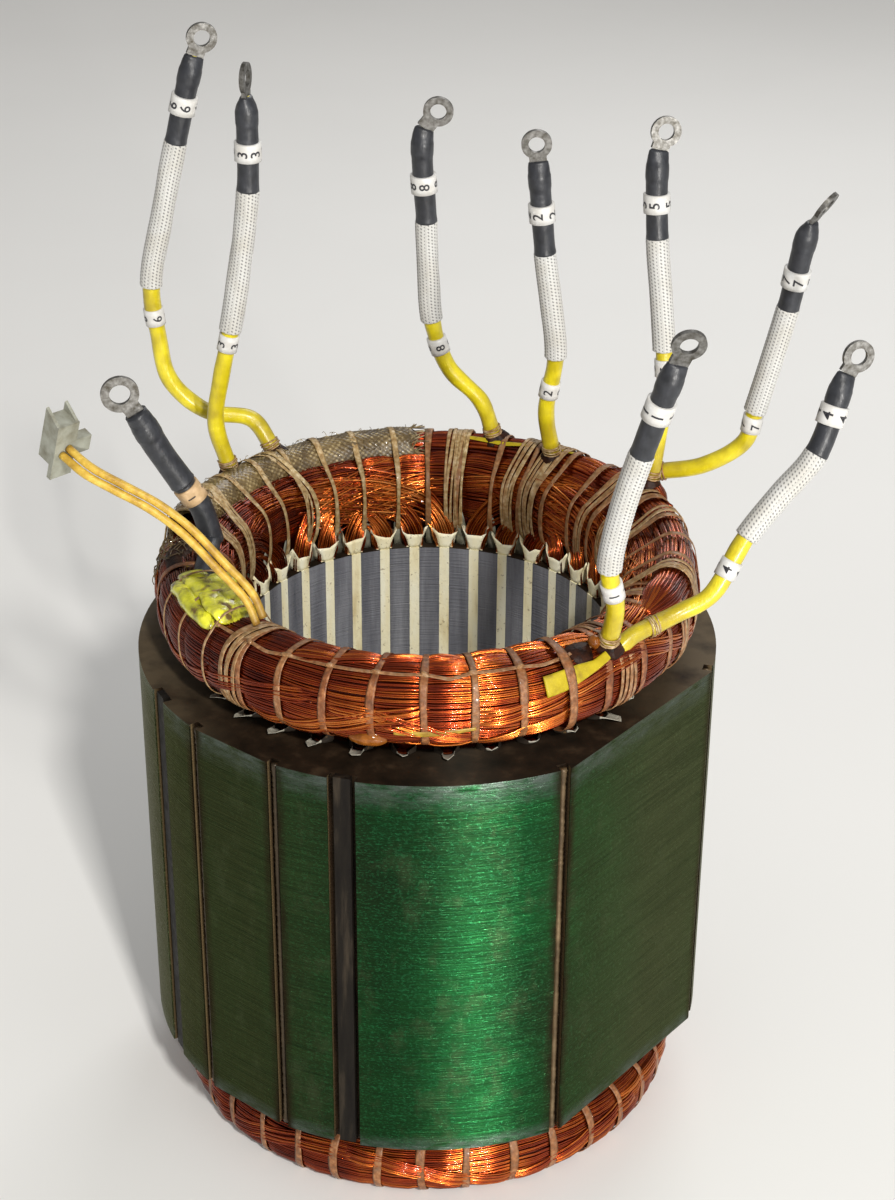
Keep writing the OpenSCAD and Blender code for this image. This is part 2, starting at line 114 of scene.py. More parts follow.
def ramp(value, stops):
    """A colour ramp over value, with (place, colour) stops."""
    output = shader(value.tree, "ValToRGB", {0: value})
    marks = output.socket.node.color_ramp.elements
    while len(marks) < len(stops):
        marks.new(0.5)
    for mark, (place, colour) in zip(marks, stops):
        mark.position, mark.color = place, (*colour, 1)
    return output


def mix(share, first, second):
    """A colour between first and second, by share."""
    first, second = ((*c, 1) if isinstance(c, tuple) else c for c in (first, second))
    return shader(share.tree, "Mix", {0: share, 6: first, 7: second}, out=2, data_type="RGBA")


def noise(tree, size, detail=3, stretch=(1, 1, 1), roughness=0.55):
    """Noise over the object's own coordinates whose blotches are about size millimetres, and
    longer along an axis by its stretch."""
    place = shader(tree, "Mapping", {0: shader(tree, "TexCoord", out=3), 3: [
        1000 / size / s for s in stretch]})
    return shader(tree, "TexNoise", {"Vector": place, "Scale": 1.0, "Detail": detail,
                                     "Roughness": roughness})


def blotched(blotches, stops, share=None, over=()):
    """A colour for finish: a ramp of stops over blotches, which are what noise takes, and another
    colour over it by share(tree)."""
    def colour(tree):
        base = ramp(noise(tree, *blotches), stops)
        return mix(share(tree), base, over) if share else base
    return colour


def finish(name, colour, roughness=0.5, metallic=0.0, grain=(), depth=0.0, **sockets):
    """A material. colour(tree) gives its base colour and, if they vary with it, its roughness and
    metallic. roughness is a number, or the size of its own blotches, their strength and their
    base. The grain, which is what noise takes or a function of the tree, stands out by depth
    millimetres."""
    material = bpy.data.materials.new(name)
    material.use_nodes = True
    tree = material.node_tree
    if isinstance(roughness, tuple):
        size, strength, base = roughness
        roughness = noise(tree, size) * strength + base
    painted = colour(tree)
    painted = painted if isinstance(painted, tuple) else (painted,)
    painted += (roughness, metallic)[len(painted) - 1:]
    surface = dict(zip(("Base Color", "Roughness", "Metallic"), painted))
    surface.update((key.replace("_", " "), value) for key, value in sockets.items())
    if grain:
        height = grain(tree) if callable(grain) else noise(tree, *grain)
        surface["Normal"] = shader(tree, "Bump", {"Strength": 1.0, "Distance": depth / 1000,
                                                  "Height": height})
    fill(tree.nodes["Principled BSDF"], surface)
    return material


def piece(name, shape, material, node="", layer=""):
    """One object on the body, that may stand for a CAD node. A shape is points in millimetres,
    faces, and values for each point, kept under the name layer, or as several named layers."""
    points, faces, values = shape
    mesh = bpy.data.meshes.new(name)
    counts = np.concatenate([np.full(len(block), block.shape[1]) for block in faces])
    corners = np.concatenate([block.ravel() for block in faces]).astype(np.int32)
    mesh.vertices.add(len(points))
    mesh.vertices.foreach_set("co", (points / 1000).astype(np.float32).ravel())
    mesh.loops.add(len(corners))
    mesh.loops.foreach_set("vertex_index", corners)
    mesh.polygons.add(len(counts))
    mesh.polygons.foreach_set("loop_start", (np.cumsum(counts) - counts).astype(np.int32))
    mesh.polygons.foreach_set("use_smooth", np.full(len(counts), True))
    mesh.update(calc_edges=True)
    for key, numbers in (values if isinstance(values, dict) else {layer: values}).items():
        if key:
            mesh.attributes.new(key, "FLOAT", "POINT").data.foreach_set(
                "value", np.asarray(numbers, np.float32).ravel())
    mesh.materials.append(material)
    made = bpy.data.objects.new(name, mesh)
    scene.collection.objects.link(made)
    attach(made, "root")
    if node:
        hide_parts(node)
    return made


def cad_finish(name, material):
    """Gives a CAD node its material."""
    nodes[name].data.materials.clear()
    nodes[name].data.materials.append(material)
    return nodes[name]


def grid_faces(rows, columns, loop_rows=False, loop_columns=True):
    """Quads of a rows by columns grid of points, closed round in either direction."""
    i = np.arange(rows if loop_rows else rows - 1)[:, None]
    j = np.arange(columns if loop_columns else columns - 1)[None, :]
    k, m = (i + 1) % rows, (j + 1) % columns
    return np.stack([i * columns + j, i * columns + m, k * columns + m, k * columns + j],
                    -1).reshape(-1, 4)


def directions(paths, outward, closed=False):
    """Unit vectors at every step of (n, steps, 3) paths: along, outward made square to it, and
    across both."""
    along = (np.roll(paths, -1, 1) - np.roll(paths, 1, 1)) if closed else np.gradient(paths, axis=1)
    along = along / np.linalg.norm(along, axis=-1, keepdims=True)
    out = outward - (outward * along).sum(-1, keepdims=True) * along
    out = out / np.linalg.norm(out, axis=-1, keepdims=True)
    return along, out, np.cross(along, out)


def bar_faces(bars, steps, corners, closed=False):
    """Faces of many bars: a grid round and along each, and flat caps on ends that are open."""
    first = np.arange(bars)[:, None] * steps * corners
    faces = [(grid_faces(steps, corners, loop_rows=closed)[None] + first[..., None]).reshape(-1, 4)]
    if not closed:
        faces.append(first + np.arange(corners)[::-1])
        faces.append(first + (steps - 1) * corners + np.arange(corners))
    return faces


def sweep(paths, outline, outward, values=0.0, closed=False):
    """A shape of one bar or many: each step of a path carries the section outline, whose
    corners are (outward, across) distances."""
    paths = paths.reshape(-1, *paths.shape[-2:])
    _, out, across = directions(paths, outward, closed)
    outline = np.broadcast_to(outline, (*paths.shape[:2], *np.shape(outline)[-2:]))
    points = (paths[:, :, None] + outline[..., :1] * out[:, :, None]
              + outline[..., 1:] * across[:, :, None])
    return points.reshape(-1, 3), bar_faces(*points.shape[:3], closed), values


def round_angles(count):
    """Even angles round a full turn."""
    return 2 * np.pi * np.arange(count) / count


def circle(radius, corners):
    """A round section for sweep. radius is one number, or one for each step, or one for each
    step and corner."""
    radius, turn = np.asarray(radius, float), round_angles(corners)
    radius = radius if radius.ndim > 1 else radius[..., None]
    return np.stack([radius * np.cos(turn), radius * np.sin(turn)], -1)


def join(parts):
    """One shape from several, with a value for each point."""
    points, faces, values, start = [], [], [], 0
    for part_points, part_faces, part_values in parts:
        points.append(part_points)
        faces += [np.asarray(block) + start for block in part_faces]
        values.append(np.broadcast_to(part_values, len(part_points)))
        start += len(part_points)
    return np.concatenate(points), faces, np.concatenate(values)


def smooth_line(route, step):
    """Points about every step along the smooth curve through a route, with no overshoot where
    its points are close together, and the number of the point at each of the route's own."""
    route = np.asarray(route, float)
    ends = np.concatenate([2 * route[:1] - route[1:2], route, 2 * route[-1:] - route[-2:-1]])
    pieces, knots = [], [0]
    for a, b, c, d in zip(ends, ends[1:], ends[2:], ends[3:]):
        count = max(3, round(np.linalg.norm(c - b) / step))
        t = (np.arange(count) / count)[:, None]
        k0, k1, k2 = (np.linalg.norm(q - p) ** 0.5 for p, q in ((a, b), (b, c), (c, d)))
        m1 = ((c - b) / k1 - (c - a) / (k0 + k1) + (b - a) / k0) * k1
        m2 = ((d - c) / k2 - (d - b) / (k1 + k2) + (c - b) / k1) * k1
        pieces.append(b + m1 * t + (3 * (c - b) - 2 * m1 - m2) * t ** 2
                      + (2 * (b - c) + m1 + m2) * t ** 3)
        knots.append(knots[-1] + count)
    return np.concatenate(pieces + [route[-1:]]), knots


def travel(line):
    """Distance along a line at each of its points."""
    return np.concatenate([[0], np.cumsum(np.linalg.norm(np.diff(line, axis=0), axis=1))])


def points_at(line, distances):
    """Points of a line at some distances along it."""
    way = travel(line)
    return np.stack([np.interp(distances, way, line[:, axis]) for axis in range(3)], -1)


def stretch_of(line, start, end, step):
    """Points every step or so of a line, from a start to an end distance along it."""
    return points_at(line, np.linspace(start, end, max(4, round((end - start) / step)) + 1))


front = np.array((0.0, -1.0, 0.0))


def tube(line, radius, corners):
    """A tube along one line, with the distance along it for each point."""
    return sweep(line, circle(radius, corners), front, np.repeat(travel(line), corners))


def stained(tree):
    """Brown in blotches, and browner towards the winding."""
    near_winding = (layer_of(tree, "way") * -0.028 + 0.75).at_least(0.0)
    return (near_winding + (noise(tree, 9, 4) * 1.6 - 0.62)) * 0.75


yellow_varnish = finish("yellow_varnish", blotched((14, 2), [
    (0.3, (0.42, 0.34, 0.004)), (0.5, (0.58, 0.48, 0.006)), (0.7, (0.68, 0.58, 0.02))],
    stained, (0.24, 0.16, 0.01)), 0.34, grain=(1.6, 4, (1, 1, 3)), depth=0.35,
    Coat_Weight=0.3, Coat_Roughness=0.2)
tinned = finish("tinned_copper", blotched((2.5, 4), [
    (0.3, (0.08, 0.073, 0.06)), (0.5, (0.17, 0.165, 0.155)), (0.75, (0.31, 0.305, 0.295))]),
    (1.2, 0.3, 0.36), 1.0, (1.5, 5, (1, 1, 4)), 0.12)

# The route of each lead above the winding's top, as in the CAD model: how many of its points are
# bare wire, and the lug's own turn. The last two points are the black sleeve's end and the middle
# of the lug's ring. The last number is the lead's length from the winding to the lug, in metres.
winding_top = np.array((0, 0, 316.0))
lead_d, lead_corners, route_step = 9.0, 14, 1.5
leads = {
    1: ([(87, -100, 0.3), (89, -106, 22), (85, -112, 45), (89, -119, 79), (96, -125, 109),
         (109, -135, 157), (113, -138, 167)], 3, 8, 0.164),
    2: ([(67, 100, 7), (63, 96, 33), (67, 92, 66), (64, 90, 96), (60, 89, 125), (55, 86, 176),
         (54, 85, 185)], 3, 0, 0.171),
    3: ([(-108, 79, 7), (-114, 77, 33), (-110, 76, 60), (-104, 74, 87), (-97, 73, 127),
         (-92, 71, 164), (-91, 68, 214), (-91, 68, 223)], 4, 78, 0.21),
    4: ([(107, -85, -0.5), (122, -78, 4), (137, -75, 12), (153, -67, 39), (169, -61, 59),
         (185, -56, 78), (198, -47, 116), (203, -45, 124)], 4, 15, 0.16),
    5: ([(118, 60, 11), (121, 60, 36), (123, 61, 60), (122, 63, 82), (119, 65, 112),
         (116, 68, 141), (115, 71, 187), (118, 72, 196)], 4, 10, 0.177),
    6: ([(-86, 101, 8), (-97, 103, 24), (-121, 102, 29), (-140, 100, 48), (-145, 99, 75),
         (-147, 97, 103), (-139, 95, 143), (-130, 93, 182), (-118, 90, 228), (-114, 90, 237)],
        6, 15, 0.256),
    7: ([(122, 69, 10), (146, 61, 18), (166, 56, 34), (170, 54, 52), (176, 50, 82),
         (182, 47, 112), (190, 41, 160), (196, 40, 169)], 4, 62, 0.182),
    8: ([(35, 120, 9), (28, 118, 29), (10, 116, 50), (1, 114, 78), (-1, 112, 107),
         (-2, 109, 135), (-3, 105, 187), (4, 104, 196)], 4, 0, 0.188)}

# Glass sleeves: white tubes woven from glass yarn, pushed over the upper part of each lead, a
# little wrinkled and squashed.
sleeve_d, yarn_ribs, yarn_pick, sleeve_step = 12.4, 18, 1.9, 0.63


def glass_yarn(tree):
    """White yarn with grey painted shade in all the gaps of the weave, dirty in blotches."""
    row, rib = layer_of(tree, "row"), layer_of(tree, "rib")
    shaded_gap = rib.math("PINGPONG", 0.5) * (row + rib * 0.5).math("PINGPONG", 0.5)
    white = mix(noise(tree, 12, 4) * 1.5 - 0.6, (0.51, 0.51, 0.495), (0.4, 0.37, 0.31))
    return mix(shaded_gap * 8.0 - 0.5, white, (0.1, 0.1, 0.1))


glass_white = finish("glass_yarn", glass_yarn, 0.6, Sheen_Weight=0.2)


def glass_sleeve(line, seed):
    """A tube with a rib for every end of yarn and a fine mark across each rib at every pick,
    staggered from rib to rib. The tube is squashed and wrinkled by slow waves."""
    way = travel(line)[:, None]
    turn = round_angles(2 * yarn_ribs)[None]
    rng = np.random.default_rng(seed)
    waves = sum(rng.normal() * np.cos(way / reach + rng.uniform(0, 6) + k * turn)
                for reach, k in ((11, 2), (7, 2), (16, 1), (5, 3), (9, 0)))
    radius = sleeve_d / 2 * (0.955 + 0.012 * waves + 0.022 * np.cos(yarn_ribs * turn))
    radius = radius + 0.13 * np.cos(2 * np.pi * way / yarn_pick + yarn_ribs * turn / 2)
    radius[[0, -1]] = lead_d / 2 + 0.2
    return sweep(line, circle(np.minimum(radius, sleeve_d / 2), 2 * yarn_ribs), front, {
        "row": np.broadcast_to(way / yarn_pick, radius.shape),
        "rib": np.broadcast_to(yarn_ribs * turn / (2 * np.pi), radius.shape)})


# Black ends: shrunk sleeves over the crimps, which show the barrel's edge and go flat on to the
# tongue of the lug.
end_d, end_corners, end_step = 12.0, 20, 0.8
shrink_black = finish("shrink_black", blotched((5, 5), [
    (0.3, (0.012, 0.013, 0.016)), (0.6, (0.024, 0.026, 0.032)), (0.8, (0.05, 0.052, 0.06))]),
    (3, 0.3, 0.25), 0.0, (2.5, 3, (1, 1, 2)), 0.3)


def lug_normal(route, turn):
    """The direction square to a lug's flat, which faces the front before its own turn."""
    line = np.subtract(route[-1], route[-2])
    tilt, bearing = math.acos(line[2] / np.linalg.norm(line)), math.atan2(line[1], line[0])
    turned = (Matrix.Rotation(bearing, 3, "Z") @ Matrix.Rotation(tilt, 3, "Y")
              @ Matrix.Rotation(math.radians(turn) - bearing, 3, "Z"))
    return np.array(turned @ Vector(front))


def black_end(line, thickness, flat_normal, seed):
    """A tube with a slack mouth, a step over the crimp's edge and an end pressed flat across
    flat_normal."""
    way = travel(line)
    left = way[-1] - way
    rng = np.random.default_rng(seed)
    radius = thickness / 2 * (
        0.93 + 0.012 * np.cos(way / 4 + rng.uniform(0, 6)) + 0.05 * np.exp(-(way / 2.5) ** 2)
        + 0.06 / (1 + np.exp((left - 15) / 0.5)) - 0.06 / (1 + np.exp((left - 7) / 0.4))
        - 0.08 * np.exp(-(left / 3) ** 2))
    radius[0] *= 0.9
    radius[-1] *= 0.86
    points, faces, _ = sweep(line, circle(radius, end_corners), front)
    squash = np.repeat(0.42 * np.exp(-(left / 4) ** 2), end_corners)[:, None]
    off = points - np.repeat(line, end_corners, 0)
    return points - squash * (off @ flat_normal)[:, None] * flat_normal, faces, 0.0


# Markers: short white printed sleeves with the lead's number, a wide one on each black end and a
# narrow one on the yellow lower down. Their figures run along the lead and repeat round it.
# A kind of marker is its length, the wire's thickness, the figure's height and how many degrees
# lie from figure to figure.
marker_t, marker_gap, marker_corners, ink_t, capital_share = 0.6, 0.3, 32, 0.06, 0.72
end_marker, lead_marker = (10, end_d, 5.6, 75), (9.5, lead_d, 5.0, 90)
marker_print = finish("marker_print", lambda tree: mix(layer_of(tree, "ink"), mix(
    noise(tree, 6, 4) * 1.6 - 0.6, (0.57, 0.57, 0.56), (0.43, 0.4, 0.35)), (0.02, 0.02, 0.025)),
    0.42)


def figure(character, height):
    """The flat outline of a character as points, faces, small enough to bend round a lead."""
    text = bpy.data.curves.new("figure", "FONT")
    text.body, text.size, text.offset = character, height / capital_share, height * 0.02
    text.align_x, text.align_y, text.resolution_u = "CENTER", "CENTER", 3
    drawn = bpy.data.objects.new("figure", text)
    scene.collection.objects.link(drawn)
    drawing = bpy.context.evaluated_depsgraph_get()
    made = bpy.data.meshes.new_from_object(drawn.evaluated_get(drawing))
    shape = bmesh.new()
    shape.from_mesh(made)
    bmesh.ops.triangulate(shape, faces=shape.faces[:])
    bmesh.ops.subdivide_edges(shape, edges=[e for e in shape.edges if e.calc_length() > height / 3],
                              cuts=2, use_grid_fill=True)
    bmesh.ops.triangulate(shape, faces=shape.faces[:])
    points = np.array([v.co[:2] for v in shape.verts])
    faces = np.array([[v.index for v in f.verts] for f in shape.faces])
    shape.free()
    bpy.data.meshes.remove(made)
    bpy.data.objects.remove(drawn)
    bpy.data.curves.remove(text)
    return points, faces


def marker(line, middle, kind, character, first):
    """A short tube round a line, and its figures: a figure's own x runs along the line and its
    y round it, from the first angle on."""
    length, thickness, height, apart = kind
    inner, outer = thickness / 2 + marker_gap, thickness / 2 + marker_gap + marker_t
    ends = np.array((0, 0.12, 0.3, 0.5, 0.7, 0.88, 1)) * length + middle - length / 2
    ends[[1, -2]] = ends[0] + 0.15, ends[-1] - 0.15
    core = points_at(line, ends)
    radius = np.array([inner, outer, outer, outer - 0.05, outer, outer, inner])
    points, faces, _ = sweep(core, circle(radius, marker_corners), front)
    along, out, across = (values[0, 3] for values in directions(core[None], front))
    cut_askew = 0.25 * np.cos(round_angles(marker_corners))[None] * (ends < middle)[:, None]
    parts = [(points + cut_askew.reshape(-1, 1) * along, faces, 0.0)]
    flat, flat_faces = figure(character, height)
    for angle in np.radians(np.arange(first, first + 360, apart)):
        turn = angle - flat[:, 1] / outer
        parts.append((core[3] + flat[:, :1] * along + (outer + ink_t) * (
            np.cos(turn)[:, None] * out + np.sin(turn)[:, None] * across), [flat_faces], 1.0))
    return parts


def cord(line, pieces):
    """Works out the line's first point and the line in metres, and keeps neither."""
    line[0] / 1000
    line / 1000


# For each lead: the share of the black end below the upper marker's middle, the lower marker's
# distance in millimetres below the white sleeve, and the angle of the figures.
marker_places = {1: (0.5, 13, -4), 2: (0.45, 19.5, -18), 3: (0.43, 6.5, 42), 4: (0.5, 17, -30),
                 5: (0.41, 9, -12), 6: (0.45, 17.5, 18), 7: (0.36, 7, 8), 8: (0.42, 15, 6)}
for number, (route, bare, turn, length) in leads.items():
    line, knots = smooth_line(route + winding_top, route_step)
    way = travel(line)
    sleeve_from, black_from, black_to = (way[knots[i]] for i in (bare - 1, -3, -2))
    line = line[:knots[-2] + 1]
    rng = np.random.default_rng(number)
    way = travel(line)
    swell = sum(rng.normal() * np.cos(way / reach + rng.uniform(0, 6)) for reach in (5, 9, 3))
    inside_end = 1 - 0.6 / (1 + np.exp((way[-1] - way - 11) / 1.5))
    lead = piece(f"lead_{number}_wire", tube(
        line, lead_d / 2 * (1 + 0.012 * swell) * inside_end, lead_corners),
        yellow_varnish, f"lead_{number}", "way")
    sleeve = piece(f"lead_{number}_sleeve", glass_sleeve(
        stretch_of(line, sleeve_from, black_from + 1, sleeve_step), number),
        glass_white, f"glass_sleeve_{number}")
    end = piece(f"lead_{number}_end", black_end(
        stretch_of(line, black_from, black_to, end_step), end_d, lug_normal(route, turn), number),
        shrink_black, "end_sleeves")
    share, below, angle = marker_places[number]
    markers = piece(f"lead_{number}_markers", join(
        marker(line, black_from + (black_to - black_from) * share, end_marker, str(number), angle)
        + marker(line, sleeve_from - below, lead_marker, str(number), angle + 10)),
        marker_print, "number_markers", "ink")
    cord(line, [sleeve, end, markers, cad_finish(f"lug_{number}", tinned)])

# --- Black lead: a short thick wire in black sleeving from the left of the winding, with a tan
# paper tag and a second sleeve shrunk over the crimp of a bigger lug.
black_route = [(-110, -1, 2), (-115, -2, 22), (-123, -4, 36), (-134, -7, 56), (-144, -10, 77),
               (-151, -12, 88)]
black_d, black_corners, black_end_d, black_length, black_lug_turn = 12.0, 18, 14.0, 0.083, 12
tag_kind = (10, black_d, 4.4, 90)
tan_paper = finish("tan_paper", blotched(
    (5, 4), [(0.3, (0.36, 0.23, 0.11)), (0.7, (0.6, 0.42, 0.24))],
    lambda tree: layer_of(tree, "ink"), (0.03, 0.02, 0.015)), 0.6)
line, knots = smooth_line(black_route + winding_top, route_step)
way = travel(line)
line = line[:knots[-2] + 1]
black_lead = piece("black_lead_wire", tube(
    line, black_d / 2 * (1 + 0.01 * np.cos(travel(line) / 4)), black_corners),
    shrink_black, "black_lead")
black_sleeve = piece("black_lead_end", black_end(
    stretch_of(line, way[knots[2]], way[knots[-2]], end_step), black_end_d,
    lug_normal(black_route, black_lug_turn), 9), shrink_black, "end_sleeves")
tag = piece("black_lead_tag", join(marker(
    line, way[knots[1]] * 0.4 + way[knots[2]] * 0.6, tag_kind, "1", 10)),
    tan_paper, "number_markers", "ink")
cord(line, [black_sleeve, tag, cad_finish("black_lug", tinned)])

# --- Sensor wires: two thin wires of the temperature sensor in the winding, in old ochre
# sleeving, that lean out side by side to a two-way plastic connector.
sensor_route = [(-81, -88, 1.6), (-86, -85, 13), (-100, -79, 27), (-116, -74, 43),
                (-131, -71, 54), (-147, -68, 62), (-162, -64, 69), (-174, -55, 75)]
sensor_step = np.array((3.1, 1.6, 2.8))
sensor_d, sensor_length, sensor_corners = 4.0, 0.127, 12
ochre = finish("ochre_sleeving", blotched((7, 5), [
    (0.3, (0.3, 0.16, 0.018)), (0.5, (0.52, 0.33, 0.04)), (0.7, (0.68, 0.48, 0.09))],
    lambda tree: (layer_of(tree, "way") * -0.07 + 0.8).at_least(0.0), (0.14, 0.06, 0.01)),
    0.45, grain=(1.0, 4, (3, 1, 1)), depth=0.2)
connector = cad_finish("sensor_connector", finish("moulded_plastic", blotched((9, 5), [
    (0.3, (0.15, 0.14, 0.1)), (0.5, (0.26, 0.265, 0.22)), (0.7, (0.34, 0.35, 0.3))]),
    0.5, grain=(1.5, 4), depth=0.12))
for k in (0, 1):
    line, _ = smooth_line(sensor_route + winding_top + k * sensor_step, 2.0)
    wire = piece(f"sensor_wire_{k + 1}", tube(
        line, sensor_d / 2 * (1 + 0.02 * np.cos(travel(line) / 3 + k)), sensor_corners),
        ochre, "sensor_wires", "way")
    cord(line, [connector])

# --- Studio: a plain pale floor, a pale surround and soft lamps, the key one from the front.
floor_mesh = bpy.data.meshes.new("floor")
floor_mesh.from_pydata([(-6, -6, 0), (6, -6, 0), (6, 6, 0), (-6, 6, 0)], [], [(0, 1, 2, 3)])
floor = bpy.data.objects.new("floor", floor_mesh)
scene.collection.objects.link(floor)
floor_mesh.materials.append(finish("floor_paper", blotched((300,), [
    (0.0, (0.78, 0.78, 0.77)), (1.0, (0.82, 0.82, 0.81))]), 0.85))
surround = bpy.data.worlds.new("surround")
surround.use_nodes = True
fill(surround.node_tree.nodes["Background"], {"Color": (1, 0.98, 0.95, 1), "Strength": 0.36})
scene.world = surround


def lamp(name, place, aim, size, power, colour):
    """A square soft lamp at place, pointed at aim."""
    data = bpy.data.lights.new(name, "AREA")
    data.size, data.energy, data.color = size, power, colour
    hung = bpy.data.objects.new(name, data)
    scene.collection.objects.link(hung)
    hung.location = place
    hung.rotation_mode = "QUATERNION"
    hung.rotation_quaternion = (Vector(aim) - Vector(place)).to_track_quat("-Z", "Y")


lamp("key", (1.0, -3.5, 3.15), (0, 0, 0.25), 0.32, 165, (1, 0.97, 0.92))
lamp("glint", (0.9, -2.4, 0.3), (0, 0, 0.15), 0.08, 44, (1, 0.97, 0.92))
lamp("fill", (1.5, -1.2, 1.0), (0, 0, 0.2), 1.2, 5, (0.92, 0.96, 1))
lamp("back", (0.6, 1.6, 1.6), (0, 0, 0.2), 1.0, 12, (1, 1, 1))

# --- Core: thin steel laminations, stacked and pressed, with 36 slots round the bore. Its outside
# is sprayed with green enamel, its ends are brown with varnish, and the bore is ground bare.
# Four channels hold flat bars, and in eight grooves a weld runs down to hold the stack.
slot_count, core_low, core_high, core_r, bore_r = 36, 46.0, 266.0, 150.0, 95.5
wide_flat, narrow_flat, narrow_bearing = 138.0, 148.2, -39
groove_bearings = narrow_bearing + np.array((-65.5, -10, 10, 65.5))


def around(r, bearing, z, aside=0.0):
    """Points at a distance from the axis towards a bearing in radians, from the front towards the
    right, some way aside of there, and at a height."""
    sine, cosine = np.sin(bearing), np.cos(bearing)
    return np.stack(np.broadcast_arrays(
        r * sine + aside * cosine, aside * sine - r * cosine, z), -1)


def at_bearing(bearing):
    """The outward unit vector at a bearing in degrees."""
    return around(1.0, np.radians(bearing), 0.0)


def between(value, low, high):
    """0 below low and 1 above high, in a straight line between. The other way if low is higher."""
    return shader(value.tree, "MapRange", {0: value, 1: low, 2: high, 3: 0.0, 4: 1.0})


def places(tree):
    """The object's own coordinates as x, y, z, and the distance from the axis, in metres."""
    split = shader(tree, "SeparateXYZ", {0: shader(tree, "TexCoord", out=3)})
    x, y, z = (Value(socket) for socket in split.socket.node.outputs)
    return x, y, z, (x * x + y * y).math("SQRT")


def at_ends(z, top_depth, low_depth, end_depth):
    """A share that goes from 0, at a depth in metres inside the top or the low end of the core,
    to 1 at the end's own depth."""
    return between(z, core_high / 1000 - top_depth, core_high / 1000 - end_depth).at_least(
        between(z, core_low / 1000 + low_depth, core_low / 1000 + end_depth))


def core_paint(tree):
    """Green outside, with light green specks as painted glints, and darkened as painted shade
    towards the left and right, more on the left; brown in the channels, darkest at their bottom as
    painted shade, and on the ends; blue-grey steel in the bore. What is outside is told by how far
    a point lies in from the round and the flats."""
    x, y, z, r = places(tree)

    def off_plane(bearing):
        """The distance from the upright plane through the axis that faces a bearing."""
        side = at_bearing(bearing)
        return abs(x * side[0] + y * side[1])

    skin = reduce(Value.at_least, (
        r - core_r / 1000, off_plane(narrow_bearing) - narrow_flat / 1000,
        off_plane(narrow_bearing + 90) - wide_flat / 1000))
    welds = reduce(Value.at_least, (
        between(off_plane(bearing + 90), 0.0075, 0.0035) for bearing in groove_bearings))
    enamel = ramp(noise(tree, 60, 4, (1, 1, 1.6)), [
        (0.3, (0.012, 0.032, 0.012)), (0.5, (0.01, 0.056, 0.016)), (0.7, (0.009, 0.09, 0.023))])
    # Light green specks, also a little smoother, are painted glints of glitter.
    painted_glint_flecks = between(noise(tree, 0.8, 3, (2, 2, 1)), 0.5, 0.66)
    # Away from the middle in x the enamel is painted darker and browner as shade, more on the left
    # than on the right.
    painted_side_shade = between(abs(x - 0.014), 0.035, 0.1)
    painted_side_olive = mix(between(x, 0.05, 0.1), (0.042, 0.046, 0.019), (0.068, 0.08, 0.038))
    lines = between(noise(tree, 1.3, 4, (40, 40, 1), 0.7), 0.4, 0.75)
    scuffs = between(noise(tree, 16, 6, (1, 1, 1.5), 0.7), 0.52, 0.75)
    worn = at_ends(z, 0.016, 0.009, 0.0) * between(noise(tree, 5, 6, (3, 3, 1), 0.7), 0.36, 0.62)
    burnt = welds * between(noise(tree, 9, 4, (1, 1, 3)), 0.2, 0.6)
    for share, over in ((painted_glint_flecks * 0.2, (0.05, 0.42, 0.16)), (painted_side_shade * 0.85, painted_side_olive),
                        (lines * 0.8, (0.008, 0.02, 0.008)), (scuffs * 0.5, (0.07, 0.09, 0.045)),
                        (worn, (0.11, 0.135, 0.12)), (burnt, (0.022, 0.016, 0.009))):
        enamel = mix(share, enamel, over)
    # In the channels and grooves the colour is brown varnish, darker the deeper it lies, which is
    # painted shade.
    groove = mix(between(skin, -0.0035, -0.001), ramp(noise(tree, 8, 5, (1, 1, 4)), [
        (0.35, (0.006, 0.004, 0.003)), (0.65, (0.03, 0.018, 0.01))]), (0.1, 0.07, 0.035))
    outside = mix(between(skin, -0.0004, -0.0011), enamel, groove)
    steel = ramp(noise(tree, 9, 5, (1, 1, 12), 0.65), [
        (0.25, (0.085, 0.09, 0.11)), (0.5, (0.165, 0.17, 0.195)), (0.75, (0.28, 0.29, 0.32))])
    # The end faces are paler in blotches towards their left and right.
    paler_end_blotches = between(abs(x), 0.09, 0.145) * between(noise(tree, 20, 5), 0.25, 0.55)
    varnish = mix(paler_end_blotches, ramp(noise(tree, 14, 6), [
        (0.3, (0.006, 0.004, 0.0025)), (0.55, (0.02, 0.012, 0.007)), (0.75, (0.055, 0.035, 0.02))]),
        (0.1, 0.075, 0.045))
    in_bore = between(r, (bore_r + 2) / 1000, (bore_r + 0.7) / 1000)
    on_end = at_ends(z, 0.00015, 0.00015, 0.00005)
    bare = (on_end * -1.0 + 1.0) * (in_bore * -0.35 + between(skin, -0.0011, -0.0004))
    return (mix(on_end, mix(in_bore, outside, steel), varnish),
            (painted_glint_flecks * -0.05 + 0.3).at_least(on_end * 0.62), bare * 0.85)


def sheet_edges(tree):
    """The edges of the sheets, which stand out unevenly all round the stack."""
    return noise(tree, 0.7, 2, (60, 60, 1), 0.6) + noise(tree, 0.9, 2) * 0.07


core_enamel = finish("core_enamel", core_paint, grain=sheet_edges, depth=0.55, Anisotropic=1.0,
                     Anisotropic_Rotation=0.25, Specular_IOR_Level=0.2,
                     Specular_Tint=(0.6, 0.58, 0.46, 1))
fill(core_enamel.node_tree.nodes["Principled BSDF"], {"Tangent": shader(
    core_enamel.node_tree, "Tangent", direction_type="RADIAL", axis="Z")})
cad_finish("core_stack", core_enamel)

# Bars: flat mild steel along the channels, dark with varnish, paler in long streaky blotches.
cad_finish("core_bars", finish("bar_steel_worn", blotched((6, 6, (1, 1, 8)), [
    (0.3, (0.004, 0.003, 0.003)), (0.55, (0.01, 0.008, 0.006)), (0.78, (0.05, 0.038, 0.026))]),
    (5, 0.4, 0.35), 0.1, (3, 5, (1, 1, 3)), 0.3, Specular_IOR_Level=0.12))

